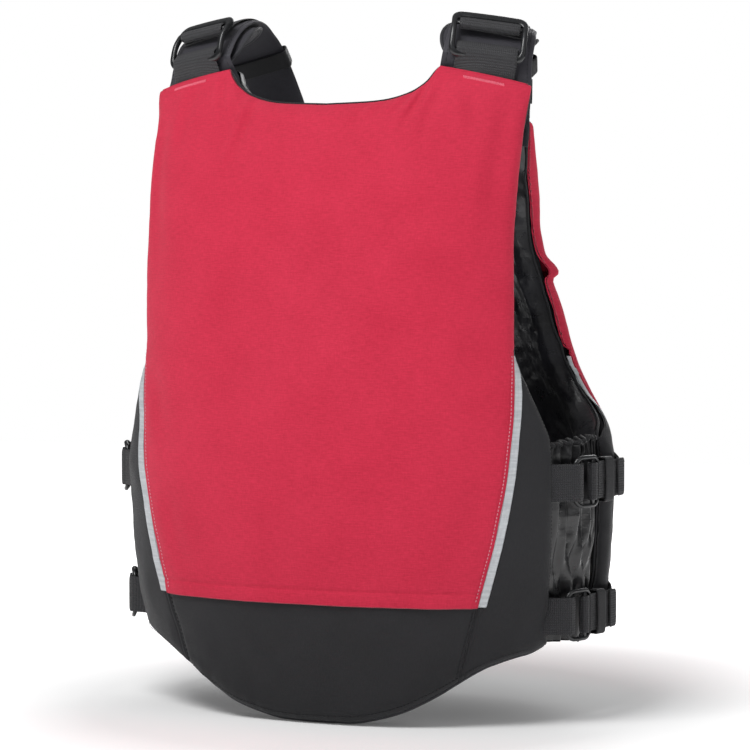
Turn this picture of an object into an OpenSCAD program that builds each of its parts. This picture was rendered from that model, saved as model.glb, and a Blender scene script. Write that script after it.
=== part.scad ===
// Zip-front paddling buoyancy aid (life jacket), shown in its worn shape.
// +Z is up, the wearer faces -Y and +X is the wearer's left side.
// The origin lies on the torso axis at the level of the lowest point of the back tail.

/* [Body shape] */
// Half width of the body at the waist straps
waist_half_w = 206; // [196:1:216]
// Thickness of the back foam slab
back_foam_t = 25; // [20:1:27]
// Thickness of the front foam slabs
front_foam_t = 21; // [16:1:22]
// Thickness of the cover cloth
cloth_t = 1.6; // [1:0.1:1.8]
// Thickness of the lining cloth
lining_t = 1.4; // [1:0.1:1.8]

/* [Reflective tape] */
// Angle that the tape covers round the body, in degrees
tape_deg = 2.5; // [1.5:0.1:3]
// How far the tape stands off the cloth
tape_t = 0.8; // [0.4:0.1:1]

/* [Shoulders] */
// Width of the shoulder webbing
shoulder_web_w = 50; // [44:1:52]
// Thickness of all webbing
web_t = 1.8; // [1.4:0.1:2]
// Width of the cloth strap at the back
strap_back_w = 75; // [60:1:76]
// Width of the cloth strap at the front
strap_front_w = 50; // [46:1:54]

/* [Side and waist straps] */
// Width of the side and waist webbing
side_web_w = 30; // [25:1:32]
// Height of the upper side strap's centre line
upper_z = 198; // [190:1:206]
// Height of the lower side strap's centre line
lower_z = 90; // [86:1:96]
// Height of the waist belt's centre line
belt_z = 122; // [116:1:128]

/* [Zip] */
// Lower end of the zip
zip_bottom = 76; // [74:1:80]
// Upper end of the zip
zip_top = 420; // [400:1:422]
// Gap between the two rows of teeth while the zip is undone
zip_gap = 2.6; // [2.4:0.1:3]

/* [Hidden] */
$fn = 32;
// Gap between the covers and the foam.
foam_gap = 1.7;

// Outline tables. Each row is [height, value].
BA = [[0, 178], [50, 184], [100, waist_half_w - 8], [150, waist_half_w - 2], [200, waist_half_w], [305, 197], [395, 194], [440, 195], [600, 196]];
BB = [[0, 118], [50, 126], [100, 134], [150, 138], [200, 140], [305, 140], [395, 137], [440, 127], [470, 115], [500, 101], [522, 87.5], [560, 67]];
FA = [[50, 184], [100, waist_half_w - 8], [150, waist_half_w - 2], [200, waist_half_w], [227, 204], [260, 197], [305, 188], [358, 176], [401, 166], [447, 157], [494, 150]];
FB = [[50, 148.4], [75, 146], [425, 112], [441, 101], [470, 83], [494, 66], [510, 56]];
// Edge angles of the panels round the body, measured from the back or front centre.
RE = [[36, 36], [99, 39], [150, 43], [200, 46.5], [250, 50], [306, 52.1], [515, 52.9], [560, 53]];
WE = [[40, 69], [66, 69.5], [85, 67], [105, 65.5], [150, 64.5], [215, 64.5], [232, 65], [250, 61.5], [271, 57.5], [293, 53.6], [306, 52.6], [515, 53.2], [560, 53.2]];
FE = [[58, 86], [226, 86], [233, 84], [240, 77], [248, 69], [258, 62], [270, 57], [285, 53], [305, 50], [335, 48], [358, 44.5], [380, 43.5], [401, 43.5], [424, 46], [447, 50], [471, 53], [490, 56], [510, 57]];
RF = [[98, 52], [130, 57], [170, 63], [200, 67], [225, 68], [245, 65], [262, 58.5], [280, 53.6], [292, 51.2], [300, 50.2]];
// Lower edge of the back by angle, and upper edges by share of the panel's half width.
ZB = [[0, 1.5], [6, 2], [11, 5], [18.5, 12], [26, 22], [36, 37], [42, 46], [48, 52], [56, 57], [65, 61], [70, 66]];
ZT = [[0, 501], [0.17, 503], [0.30, 509], [0.38, 518], [0.433, 531], [1, 515]];
ZF = [[0, 425], [0.1, 427], [0.2, 434], [0.3, 447], [0.4, 466], [0.46, 482], [0.49, 491], [1, 489]];

function sp(v, p) = sign(v) * pow(abs(v), p);
// A point on the back or front shell: angle from the centre line, height, offset outwards.
function SB(f, z, o) = [(lookup(z, BA) + o) * sp(sin(f), 0.8), (lookup(z, BB) + o) * sp(cos(f), 0.8), z];
function SF(f, z, o) = [(lookup(z, FA) + o) * sp(sin(f), 0.8), -(lookup(z, FB) + o) * sp(cos(f), 0.8), z];
// Angle on the front shell at which x has a given value.
function FX(x, z) = asin(pow(x / lookup(z, FA), 1.25));
function mix(a, b, t) = a + (b - a) * t;

// A closed slab between an outer and an inner grid of points.
module slab(fo, fi, ni, nj, flip = false) {
  w = nj + 1;
  n = (ni + 1) * w;
  pts = concat([for (i = [0:ni]) for (j = [0:nj]) fo(i / ni, j / nj)], [for (i = [0:ni]) for (j = [0:nj]) fi(i / ni, j / nj)]);
  quads = concat(
    [for (i = [0:ni - 1]) for (j = [0:nj - 1]) [i * w + j, (i + 1) * w + j, (i + 1) * w + j + 1, i * w + j + 1]],
    [for (i = [0:ni - 1]) for (j = [0:nj - 1]) [n + i * w + j, n + i * w + j + 1, n + (i + 1) * w + j + 1, n + (i + 1) * w + j]],
    [for (i = [0:ni - 1]) [i * w, n + i * w, n + (i + 1) * w, (i + 1) * w]],
    [for (i = [0:ni - 1]) [i * w + nj, (i + 1) * w + nj, n + (i + 1) * w + nj, n + i * w + nj]],
    [for (j = [0:nj - 1]) [j, j + 1, n + j + 1, n + j]],
    [for (j = [0:nj - 1]) [ni * w + j, n + ni * w + j, n + ni * w + j + 1, ni * w + j + 1]]);
  tris = [for (q = quads) each [[q[0], q[1], q[2]], [q[0], q[2], q[3]]]];
  polyhedron(pts, [for (t = tris) flip ? [t[2], t[1], t[0]] : t]);
}

module both(side) { if (side > 0) children(); else mirror([1, 0, 0]) children(); }

// How much of a pad's depth is left near its edges, as a share.
function crown(t, v) = min(1, 0.55 + 3 * min(t, 1 - t), 0.55 + 4 * min(v, 1 - v));

// ---------------------------------------------------------------- back
module back_cover() {
  g = function(o) function(s, v) let (t = 2 * s - 1, z = mix(99.6, lookup(abs(t), ZT), v)) SB(t * lookup(z, RE), z, o);
  color([0.78, 0.13, 0.24]) slab(g(0), g(-cloth_t), 22, 12);
}
module back_tail_cover() {
  g = function(o) function(s, v) let (t = 2 * s - 1, z = mix(lookup(abs(t) * 37, ZB), 99, v)) SB(t * lookup(z, RE), z, o);
  color([0.14, 0.14, 0.15]) slab(g(0), g(-cloth_t), 16, 4);
}
module back_wing() {
  g = function(o) function(s, v) let (z = mix(lookup(mix(37, 70, s), ZB), 298, v)) SB(mix(lookup(z, RE) + 0.2, lookup(z, WE), s), z, o);
  color([0.14, 0.14, 0.15]) slab(g(0), g(-cloth_t), 5, 12);
}
module back_foam() {
  g = function(k) function(s, v) let (t = 2 * s - 1, z = mix(lookup(abs(t) * 37, ZB) + 4, lookup(abs(t), ZT) - 5, v))
    SB(t * (lookup(z, RE) - 1.2), z, k == 0 ? -cloth_t - foam_gap : -cloth_t - foam_gap - back_foam_t * crown(s, v));
  color([0.85, 0.85, 0.8]) slab(g(0), g(1), 14, 12);
}
module wing_foam() {
  g = function(k) function(s, v) let (z = mix(lookup(mix(39, 68, s), ZB) + 4, 286, v))
    SB(mix(lookup(z, RE) + 1.2, lookup(z, WE) - 0.8, s), z, k == 0 ? -cloth_t - 0.9 : -cloth_t - 0.9 - 18 * crown(s, v));
  color([0.85, 0.85, 0.8]) slab(g(0), g(1), 5, 8);
}
module back_lining() {
  o1 = -cloth_t - foam_gap - 0.9 - back_foam_t;
  g = function(o) function(s, v) let (t = 2 * s - 1, z = mix(lookup(abs(t) * 69, ZB) + 2, lookup(abs(t), ZT) - 3, v))
    SB(t * (lookup(z, WE) - 0.3), z, o);
  color([0.1, 0.1, 0.11]) slab(g(o1), g(o1 - lining_t), 22, 12);
}
module back_tape() {
  g = function(o) function(s, v) let (z = mix(99.8, 300, v)) SB(lookup(z, RE) + s * min(tape_deg, 0.3 + (lookup(z, WE) - lookup(z, RE)) * 0.8), z, o);
  color([0.72, 0.74, 0.76]) slab(g(0.1 + tape_t), g(0.1), 2, 12);
}
module side_gusset() {
  g = function(o) function(s, v) let (z = mix(74, 231, v)) SB(mix(lookup(z, WE) + 0.4, 88, s), z, o);
  color([0.1, 0.1, 0.11]) slab(g(-7), g(-10), 6, 4);
}

// ---------------------------------------------------------------- shoulders
// Centre line of the strap's upper face, with its width there: [x, y, z, width].
PATH = [[128, 64.5, 537, strap_back_w], [127.5, 58.5, 547, strap_back_w], [127, 51.5, 555.5, strap_back_w], [126.3, 44.5, 562, 73], [125, 36, 567.5, 70], [123.4, 25.5, 571.2, 66],
  [121.5, 14, 572, 61], [119.6, 2.5, 569.2, 57], [117.4, -8.5, 562.5, 53], [115, -18, 553, 51], [112.5, -26.5, 541, 50], [110, -34.5, 527, 50], [107.5, -42, 512, strap_front_w], [106, -46.5, 502, strap_front_w]];
// Cross direction of the strap, from its neck edge to its arm edge, at the back and the front.
function cross_dir(k) = let (t = k / (len(PATH) - 1), y = mix(-0.37, 0.3, t), v = [0.93, y, -0.21]) v / norm(v);
function along(k) = let (a = PATH[max(0, k - 1)], b = PATH[min(len(PATH) - 1, k + 1)], v = [b[0] - a[0], b[1] - a[1], b[2] - a[2]]) v / norm(v);
function pnt(k, w, o) = let (p = PATH[k], c = cross_dir(k), n = up_n(k)) [p[0], p[1], p[2]] + c * w + n * o;
// Outward normal of the strap: it points up and back at the back and up and forwards at the front.
function up_n(k) = let (v = cross(cross_dir(k), along(k)), u = v / norm(v)) (u * [0, PATH[k][1] - 10, PATH[k][2] - 500]) < 0 ? -u : u;
module shoulder_strap() {
  n = len(PATH) - 1;
  g = function(o) function(s, v) let (k = round(v * n)) pnt(k, mix(-PATH[k][3] / 2, PATH[k][3] / 2, s), o);
  color([0.19, 0.19, 0.21]) slab(g(0), g(-6), 2, n, true);
}
module shoulder_pad() {
  color([0.11, 0.11, 0.12]) {
    n = 7;
    hw = function(k) 41 * pow(max(0.12, 1 - pow(abs(k - 3.5) / 3.9, 3.2)), 0.5);
    g = function(o) function(s, v) let (q = v * n, k = 1 + round(q), h = min(hw(q), 41)) pnt(k, mix(-h, h, s), o);
    slab(g(-6.4), g(-11.5), 6, n, true);
  }
}
module shoulder_webbing() {
  color([0.12, 0.12, 0.13]) {
    g = function(o) function(s, v) let (k = round(v * 4)) pnt(k, mix(-shoulder_web_w / 2, shoulder_web_w / 2, s), o);
    slab(g(0.4 + web_t), g(0.4), 1, 4, true);
  }
}
module shoulder_tail() {
  color([0.12, 0.12, 0.13]) {
    n = len(PATH) - 1;
    k0 = 5;
    g = function(o) function(s, v) let (k = k0 + round(v * (n - k0))) pnt(k, mix(-22, 22, s), o);
    slab(g(0.4 + web_t), g(0.4), 1, n - k0, true);
    // the folded tail under its keeper, standing off the strap
    h = function(o) function(s, v) let (k = 8 + round(v * 3)) pnt(k, mix(-21, 21, s), o + 0.5);
    slab(h(3.2 + 5), h(3.2), 1, 3, true);
  }
}
// Local frame of the shoulder slider.
SH_C = [127.9, 61, 556.4];
SH_X = [0.905, -0.365, -0.13] / norm([0.905, -0.365, -0.13]);
SH_U0 = [0, -0.66, 0.75];
SH_U = (SH_U0 - SH_X * (SH_U0 * SH_X)) / norm(SH_U0 - SH_X * (SH_U0 * SH_X));
SH_N = cross(SH_X, SH_U) * (cross(SH_X, SH_U) * [0, 1, 1] < 0 ? -1 : 1);
module place(c, x, u, n) { multmatrix([[x[0], u[0], n[0], c[0]], [x[1], u[1], n[1], c[1]], [x[2], u[2], n[2], c[2]], [0, 0, 0, 1]]) children(); }

module rrect(w, h, r) {
  square([w - 2 * r, h], center = true);
  square([w, h - 2 * r], center = true);
  for (x = [-1, 1]) for (y = [-1, 1]) translate([x * (w / 2 - r), y * (h / 2 - r)]) circle(r);
}
// A strap slider: a rounded frame with a middle bar.
module slider(w, h, bar, t, slot_w, mid) {
  translate([0, 0, -t / 2]) linear_extrude(t) difference() {
    rrect(w, h, 7);
    for (m = [-1, 1]) translate([0, m * (h / 2 - bar + mid) / 2]) square([slot_w, h / 2 - bar - mid], center = true);
  }
}
module shoulder_slider() {
  color([0.06, 0.06, 0.065]) place(SH_C + SH_N * 1.3, SH_X, SH_U, SH_N) slider(62, 43, 5, 4, 53, 3);
}
module shoulder_loop() {
  // webbing turned round the middle bar of the slider
  color([0.12, 0.12, 0.13]) place(SH_C + SH_N * 1.3, SH_X, SH_U, SH_N)
    translate([-shoulder_web_w / 2, 0, 0]) rotate([90, 0, 90]) linear_extrude(shoulder_web_w) difference() {
      rrect(11.4, 8.8, 3.6);
      rrect(7.8, 5.2, 1.8);
    }
}

// ---------------------------------------------------------------- side straps, left side
UP = [[180.9, 85.6], [190.5, 76], [216, 14], [216.6, 7]];
LO = [[174.5, 87.5], [184, 76], [209.5, 14], [210, 7]];
module strap_plan(P, t) {
  // a strip of thickness t on the outer side of a plan path
  n = len(P) - 1;
  dir = function(k) let (a = P[max(0, k - 1)], b = P[min(n, k + 1)], v = b - a) v / norm(v);
  off = function(k, o) P[k] + [-dir(k)[1], dir(k)[0]] * o;
  polygon(concat([for (k = [0:n]) off(k, 0)], [for (k = [n:-1:0]) off(k, t)]));
}
module side_strap(P, z) {
  color([0.12, 0.12, 0.13]) translate([0, 0, z - side_web_w / 2]) linear_extrude(side_web_w) strap_plan(P, web_t);
}
SD = [25.5, -62] / norm([25.5, -62]);
SN = [-SD[1], SD[0]];
// Frame of a side slider: across is up, along is round the body, out is away from it.
module side_slider(c, z) {
  color([0.06, 0.06, 0.065]) place([c[0] + SN[0] * 4.6, c[1] + SN[1] * 4.6, z], [0, 0, 1], [SD[0], SD[1], 0], [SN[0], SN[1], 0]) {
    slider(42, 32, 3.4, 3.2, 33, 2.2);
    // webbing turned round the middle bar
    translate([-side_web_w / 2, 0, 0]) rotate([90, 0, 90]) linear_extrude(side_web_w) rrect(7.6, 5, 2.2);
  }
}
FUP = [[216.8, 2.5], [215.4, -12], [210, -28], [204.5, -42], [198.6, -56.5], [193.8, -67]];
FLO = [[210.2, 2.5], [208.8, -12], [204.4, -28], [199.4, -42], [194.4, -54], [190.6, -62]];
module front_strap(P, z) {
  color([0.12, 0.12, 0.13]) translate([0, 0, z - side_web_w / 2]) linear_extrude(side_web_w) {
    strap_plan(P, web_t);
    // folded tail held by its keeper
    polygon([[P[0][0] + 1.9, P[0][1] - 5], [P[0][0] + 6.5, P[0][1] - 6], [P[0][0] + 7.6, P[0][1] - 13], [P[0][0] + 4.5, P[0][1] - 26], [P[0][0] - 0.6, P[0][1] - 22]]);
  }
}

// ---------------------------------------------------------------- front, left half
EDGE_X = 6.4;
module front_cover() {
  g = function(o) function(s, v) let (z = mix(99.6, lookup(s, ZF), v)) SF(mix(FX(EDGE_X, z), z > 300 ? lookup(z, FE) : lookup(z, RF), s), z, o);
  color([0.78, 0.13, 0.24]) slab(g(0), g(-cloth_t), 12, 16, true);
}
module front_band() {
  g = function(o) function(s, v) let (z = mix(mix(68, 63, s), 99, v)) SF(mix(FX(EDGE_X, z), 52, s), z, o);
  color([0.14, 0.14, 0.15]) slab(g(0), g(-cloth_t), 8, 2, true);
}
module front_wing() {
  g = function(o) function(s, v) let (z = mix(mix(63, 60, s), mix(264, 228, s), v)) SF(mix(z < 98 ? 52.3 : lookup(z, RF) + 0.3, lookup(z, FE), s), z, o);
  color([0.14, 0.14, 0.15]) slab(g(0), g(-cloth_t), 5, 12, true);
}
// The foam is skived thinner where the chest turns up to the shoulders.
function skive(z) = min(1, max(0, (z - 375) / 25));
module front_foam() {
  g = function(k) function(s, v) let (z = mix(mix(73, 65, s), lookup(s, ZF) - 5, v), zc = min(z, mix(500, 470, s)), e = skive(zc))
    SF(mix(FX(14, zc), lookup(zc, FE) - 1, s), zc, k == 0 ? -cloth_t - foam_gap - 2.6 * e : -cloth_t - foam_gap - (front_foam_t - 2.2 * e) * crown(s, v));
  color([0.85, 0.85, 0.8]) slab(g(0), g(1), 10, 14, true);
}
module front_lining() {
  o1 = -cloth_t - foam_gap - 0.9 - front_foam_t;
  g = function(o) function(s, v) let (z = mix(mix(71, 62, s), lookup(s, ZF) - 3, v)) SF(mix(FX(EDGE_X, z), lookup(z, FE) - 0.3, s), z, o);
  color([0.1, 0.1, 0.11]) slab(g(o1), g(o1 - lining_t), 12, 14, true);
}
module front_tape() {
  g = function(o) function(s, v) let (z = mix(99.8, 292, v)) SF(lookup(z, RF) - 0.2 + s * min(tape_deg, 0.3 + (lookup(z, FE) - lookup(z, RF)) * 0.8), z, o);
  color([0.72, 0.74, 0.76]) slab(g(0.1 + tape_t), g(0.1), 2, 14, true);
}

// ---------------------------------------------------------------- zip
// The zip lies on a straight line that leans back by this angle.
ZA = atan2(34, 350);
module zip_frame() { translate([0, -146, 75]) rotate([-ZA, 0, 0]) children(); }
zip_l = (zip_top - 75) / cos(ZA);
module zip_side() {
  // local z runs up the zip and local y points out of the jacket's back
  color([0.08, 0.08, 0.085]) zip_frame() {
    translate([zip_gap / 2 + 2, 2, 0]) cube([EDGE_X + 5 - zip_gap / 2, 0.8, zip_l]);
    for (k = [0:1:floor((zip_l - 22) / 4)]) translate([zip_gap / 2, 0.3, 20 + 4 * k]) cube([2.6, 2.6, 2.6]);
  }
}
module zip_slider() {
  color([0.07, 0.07, 0.075]) zip_frame() translate([0, 0, 3]) {
    // two plates joined by a post that runs between the rows of teeth
    for (y = [-1.5, 3.4]) translate([-5.9, y, 0]) cube([11.8, 1.4, 14]);
    translate([-0.8, -0.2, 9]) cube([1.6, 3.7, 5]);
    for (x = [-5.9, 4.9]) translate([x, -0.2, 0]) cube([1, 1.1, 12]);
    // bridge that holds the puller
    translate([-1.6, -5.2, 3]) difference() {
      cube([3.2, 3.8, 8]);
      translate([-1, 1.4, 2]) cube([5.2, 2.5, 4]);
    }
  }
}
module zip_pull() {
  color([0.05, 0.05, 0.055]) zip_frame() translate([0, 0, 3]) {
    // ring of the puller passes under the bridge
    translate([0, -2.9, 7]) rotate([0, 90, 0]) cylinder(h = 7.4, r = 0.8, center = true);
    for (x = [-3.7, 2.3]) translate([x, -3.7, -6]) cube([1.4, 1.6, 13.7]);
    translate([-4.5, -4.2, -30]) difference() {
      cube([9, 2.5, 24.2]);
      translate([4.5, 3, 5]) rotate([90, 0, 0]) cylinder(h = 4, r = 2);
    }
  }
}

// ---------------------------------------------------------------- waist belt and buckle
BY = -(lookup(belt_z, FB) + 2.2);
BELT_TILT = ZA;
module belt_frame() { translate([0, BY, belt_z]) rotate([-BELT_TILT, 0, 0]) children(); }
module waist_belt() {
  // sewn belt that follows the front panel
  g = function(o) function(s, v) let (z = belt_z + mix(-side_web_w / 2, side_web_w / 2, v)) SF(mix(FX(46, z), 62, s), z, o);
  color([0.12, 0.12, 0.13]) slab(g(1.7 + web_t), g(1.7), 10, 2, true);
}
module belt_tail() {
  color([0.12, 0.12, 0.13]) belt_frame() translate([-108, -6.5, -side_web_w / 2]) cube([60, web_t, side_web_w]);
}
module buckle_socket() {
  color([0.05, 0.05, 0.055]) belt_frame() {
    translate([9, -9.5, -19]) difference() {
      cube([32, 9.5, 38]);
      translate([-1, 2.2, 3.2]) cube([27, 5.1, 31.6]);
      for (z = [-1, 35]) translate([8, 2.2, z]) cube([14, 5.1, 4]);
    }
    translate([40.9, -6.6, -18]) difference() {
      cube([12, 4, 36]);
      translate([3.2, -1, 3]) cube([5, 6, 30]);
    }
  }
}
module buckle_plug() {
  color([0.05, 0.05, 0.055]) belt_frame() {
    // base with its webbing slot
    translate([-47, -7, -18]) difference() {
      cube([16, 4.4, 36]);
      translate([3.6, -1, 3]) cube([3.6, 7, 30]);
      translate([9.4, -1, 3]) cube([3.2, 7, 30]);
    }
    // centre guide and the two sprung prongs
    translate([-31.1, -6.6, -3]) cube([20, 3.6, 6]);
    for (m = [0, 1]) mirror([0, 0, m]) {
      translate([-31.1, -6.6, 10]) cube([16, 3.6, 3.4]);
      translate([-15.2, -3, 0]) rotate([90, 0, 0]) linear_extrude(3.6) polygon([[0, 10], [0, 14.6], [2.2, 14.6], [6.2, 11.6], [6.2, 10]]);
    }
  }
}

back_cover();
back_tail_cover();
both(1) back_wing();  // back_wing_left
both(-1) back_wing();  // back_wing_right
back_foam();
both(1) wing_foam();  // wing_foam_left
both(-1) wing_foam();  // wing_foam_right
back_lining();
both(1) back_tape();  // back_tape_left
both(-1) back_tape();  // back_tape_right
both(1) side_gusset();  // side_gusset_left
both(-1) side_gusset();  // side_gusset_right
both(1) shoulder_strap();  // shoulder_strap_left
both(-1) shoulder_strap();  // shoulder_strap_right
both(1) shoulder_pad();  // shoulder_pad_left
both(-1) shoulder_pad();  // shoulder_pad_right
both(1) shoulder_webbing();  // shoulder_webbing_left
both(-1) shoulder_webbing();  // shoulder_webbing_right
both(1) shoulder_tail();  // shoulder_tail_left
both(-1) shoulder_tail();  // shoulder_tail_right
both(1) shoulder_slider();  // shoulder_slider_left
both(-1) shoulder_slider();  // shoulder_slider_right
both(1) shoulder_loop();  // shoulder_loop_left
both(-1) shoulder_loop();  // shoulder_loop_right
both(1) side_strap(UP, upper_z);  // side_strap_upper_left
both(-1) side_strap(UP, upper_z);  // side_strap_upper_right
both(1) side_strap(LO, lower_z);  // side_strap_lower_left
both(-1) side_strap(LO, lower_z);  // side_strap_lower_right
both(1) side_slider([203.25, 45], upper_z);  // slider_upper_left
both(-1) side_slider([203.25, 45], upper_z);  // slider_upper_right
both(1) side_slider([196.75, 45], lower_z);  // slider_lower_left
both(-1) side_slider([196.75, 45], lower_z);  // slider_lower_right
both(1) front_cover();  // front_cover_left
both(-1) front_cover();  // front_cover_right
both(1) front_wing();  // front_wing_left
both(-1) front_wing();  // front_wing_right
both(1) front_band();  // front_band_left
both(-1) front_band();  // front_band_right
both(1) front_foam();  // front_foam_left
both(-1) front_foam();  // front_foam_right
both(1) front_lining();  // front_lining_left
both(-1) front_lining();  // front_lining_right
both(1) front_tape();  // front_tape_left
both(-1) front_tape();  // front_tape_right
both(1) zip_side();  // zip_tape_left
both(-1) zip_side();  // zip_tape_right
zip_slider();
zip_pull();
both(1) front_strap(FUP, upper_z);  // front_strap_upper_left
both(-1) front_strap(FUP, upper_z);  // front_strap_upper_right
both(1) front_strap(FLO, lower_z);  // front_strap_lower_left
both(-1) front_strap(FLO, lower_z);  // front_strap_lower_right
both(1) waist_belt();  // waist_belt_left
both(-1) waist_belt();  // waist_belt_right
belt_tail();
buckle_socket();
buckle_plug();
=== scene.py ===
# Life jacket (zip-front paddling buoyancy aid), visual model. Metres, +Z up, the wearer faces -Y, +X is the wearer's left.
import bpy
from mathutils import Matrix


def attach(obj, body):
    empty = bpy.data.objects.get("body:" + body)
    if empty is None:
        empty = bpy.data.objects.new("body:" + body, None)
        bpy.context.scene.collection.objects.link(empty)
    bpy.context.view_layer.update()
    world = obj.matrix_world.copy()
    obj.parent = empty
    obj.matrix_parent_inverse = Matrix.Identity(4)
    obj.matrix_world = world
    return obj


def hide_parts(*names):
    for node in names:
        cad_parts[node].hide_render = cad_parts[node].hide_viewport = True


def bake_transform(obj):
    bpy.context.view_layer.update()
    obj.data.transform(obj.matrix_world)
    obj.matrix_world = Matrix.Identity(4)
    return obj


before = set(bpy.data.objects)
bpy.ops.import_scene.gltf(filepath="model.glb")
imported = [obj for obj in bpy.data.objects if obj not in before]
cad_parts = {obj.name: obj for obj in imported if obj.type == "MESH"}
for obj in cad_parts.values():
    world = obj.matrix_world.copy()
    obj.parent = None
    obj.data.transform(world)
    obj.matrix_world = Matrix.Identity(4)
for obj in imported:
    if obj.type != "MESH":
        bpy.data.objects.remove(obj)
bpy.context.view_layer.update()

import math
import bpy
import bmesh
import numpy as np
from mathutils import Vector

PI = math.pi
SCN = bpy.context.scene

# ------------------------------------------------------------------ camera
CAM_AZ, CAM_EL, CAM_D = math.radians(22), math.radians(3.2), 2.6
cdir = Vector((-math.sin(CAM_AZ) * math.cos(CAM_EL), math.cos(CAM_AZ) * math.cos(CAM_EL), math.sin(CAM_EL)))
rdir = Vector((-math.cos(CAM_AZ), -math.sin(CAM_AZ), 0))
cam_data = bpy.data.cameras.new("camera")
cam = bpy.data.objects.new("camera", cam_data)
SCN.collection.objects.link(cam)
cam_data.sensor_width = 36
cam_data.lens = 148.2
cam_data.clip_end = 50
aim = Vector((0, 0, 0.277)) + rdir * 0.0042
cam.location = aim + cdir * CAM_D
cam.rotation_euler = (-cdir).to_track_quat("-Z", "Y").to_euler()
SCN.camera = cam

# ------------------------------------------------------------------ numbers
WHW = 206.0
LIN = np.arange(-60.0, 661.0, 1.0)


def gauss(y, s):
    k = np.arange(-int(4 * s), int(4 * s) + 1)
    g = np.exp(-0.5 * (k / s) ** 2)
    g /= g.sum()
    p = len(k) // 2
    return np.convolve(np.pad(y, p, mode="edge"), g, mode="valid")


class Soft:
    """A table read with straight lines between its rows, with the corners rounded off."""

    def __init__(self, rows, s=7.0):
        a = np.array(rows, float)
        self.y = gauss(np.interp(LIN, a[:, 0], a[:, 1]), s)

    def __call__(self, z):
        return np.interp(z, LIN, self.y)


class Mono:
    """A smooth curve through its rows that never overshoots them."""

    def __init__(self, rows):
        a = np.array(rows, float)
        x, y = a[:, 0], a[:, 1]
        h = np.diff(x)
        d = np.diff(y) / h
        m = np.zeros(len(x))
        m[0], m[-1] = d[0], d[-1]
        for k in range(1, len(x) - 1):
            if d[k - 1] * d[k] > 0:
                w1, w2 = 2 * h[k] + h[k - 1], h[k] + 2 * h[k - 1]
                m[k] = (w1 + w2) / (w1 / d[k - 1] + w2 / d[k])
        self.x, self.yv, self.h, self.m = x, y, h, m

    def __call__(self, q):
        q = np.clip(np.asarray(q, float), self.x[0], self.x[-1])
        k = np.clip(np.searchsorted(self.x, q, side="right") - 1, 0, len(self.h) - 1)
        h = self.h[k]
        t = (q - self.x[k]) / h
        t2, t3 = t * t, t * t * t
        return (2 * t3 - 3 * t2 + 1) * self.yv[k] + (t3 - 2 * t2 + t) * h * self.m[k] + (3 * t2 - 2 * t3) * self.yv[k + 1] + (t3 - t2) * h * self.m[k + 1]


BA = Soft([[0, 178], [50, 184], [100, WHW - 8], [150, WHW - 2], [200, WHW], [305, 197], [395, 194], [440, 195], [600, 196]])
BB = Soft([[0, 118], [50, 126], [100, 134], [150, 138], [200, 140], [305, 140], [395, 137], [440, 127], [470, 115], [500, 101], [522, 87.5], [560, 67]])
FA = Soft([[50, 184], [100, WHW - 8], [150, WHW - 2], [200, WHW], [227, 204], [260, 197], [305, 188], [358, 176], [401, 166], [447, 157], [494, 150]])
FB = Soft([[50, 148.4], [75, 146], [425, 112], [441, 101], [470, 83], [494, 66], [510, 56]], 5)
RE = Soft([[36, 36], [99, 39], [150, 43], [200, 46.5], [250, 50], [306, 52.1], [515, 52.9], [560, 53]])
WE = Soft([[40, 69], [66, 69.5], [85, 67], [105, 65.5], [150, 64.5], [215, 64.5], [232, 65], [250, 61.5], [271, 57.5], [293, 53.6], [306, 52.6], [515, 53.2], [560, 53.2]], 5)
FE = Soft([[58, 86], [226, 86], [233, 84], [240, 77], [248, 69], [258, 62], [270, 57], [285, 53], [305, 50], [335, 48], [358, 44.5], [380, 43.5], [401, 43.5], [424, 46], [447, 50], [471, 53], [490, 56], [510, 57]], 4)
RF = Soft([[98, 52], [130, 57], [170, 63], [200, 67], [225, 68], [245, 65], [262, 58.5], [280, 53.6], [292, 51.2], [300, 50.2]], 5)
ZBm = Mono([[0, 1.5], [6, 2], [11, 5], [18.5, 12], [26, 22], [36, 37], [42, 46], [48, 52], [56, 57], [65, 61], [70, 66]])
ZTn = Mono([[0, 501], [0.17, 503], [0.30, 509], [0.38, 518], [0.433, 531]])
ZFn = Mono([[0, 425], [0.1, 427], [0.2, 434], [0.3, 447], [0.4, 466], [0.46, 482], [0.49, 491]])


def ZB(f):
    return ZBm(np.abs(f))


def ZT(t):
    t = np.abs(t)
    return np.where(t < 0.433, ZTn(t), 531 + (515 - 531) * (t - 0.433) / 0.567)


def ZF(s):
    return np.where(s < 0.49, ZFn(s), 491 + (489 - 491) * (s - 0.49) / 0.51)


def sp(v, p=0.8):
    return np.sign(v) * np.abs(v) ** p


def S(side, f, z, o):
    """A point on the back (B) or front (F) shell, in mm: angle from the centre line in degrees, height, offset outwards."""
    f, z, o = np.broadcast_arrays(np.asarray(f, float), np.asarray(z, float), np.asarray(o, float))
    A, B = (BA, BB) if side == "B" else (FA, FB)
    r = np.radians(f)
    a, b = A(z), B(z)
    nx, ny = b * sp(np.sin(r), 1.2), a * sp(np.cos(r), 1.2)
    L = np.hypot(nx, ny)
    x = a * sp(np.sin(r)) + o * nx / L
    y = b * sp(np.cos(r)) + o * ny / L
    return np.stack([x, y if side == "B" else -y, z], -1)


_ARCF = np.linspace(-110, 110, 4401)


def _arc(a, b):
    r = np.radians(_ARCF)
    x, y = a * sp(np.sin(r)), b * sp(np.cos(r))
    s = np.concatenate([[0], np.cumsum(np.hypot(np.diff(x), np.diff(y)))])
    return s - np.interp(0, _ARCF, s)


_arcs = {"B": _arc(200, 138), "F": _arc(196, 132)}


def U(side, f):
    """Distance round the body from the centre line, in mm."""
    return np.interp(f, _ARCF, _arcs[side])


def F_of_U(side, u):
    return np.interp(u, _arcs[side], _ARCF)


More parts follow.
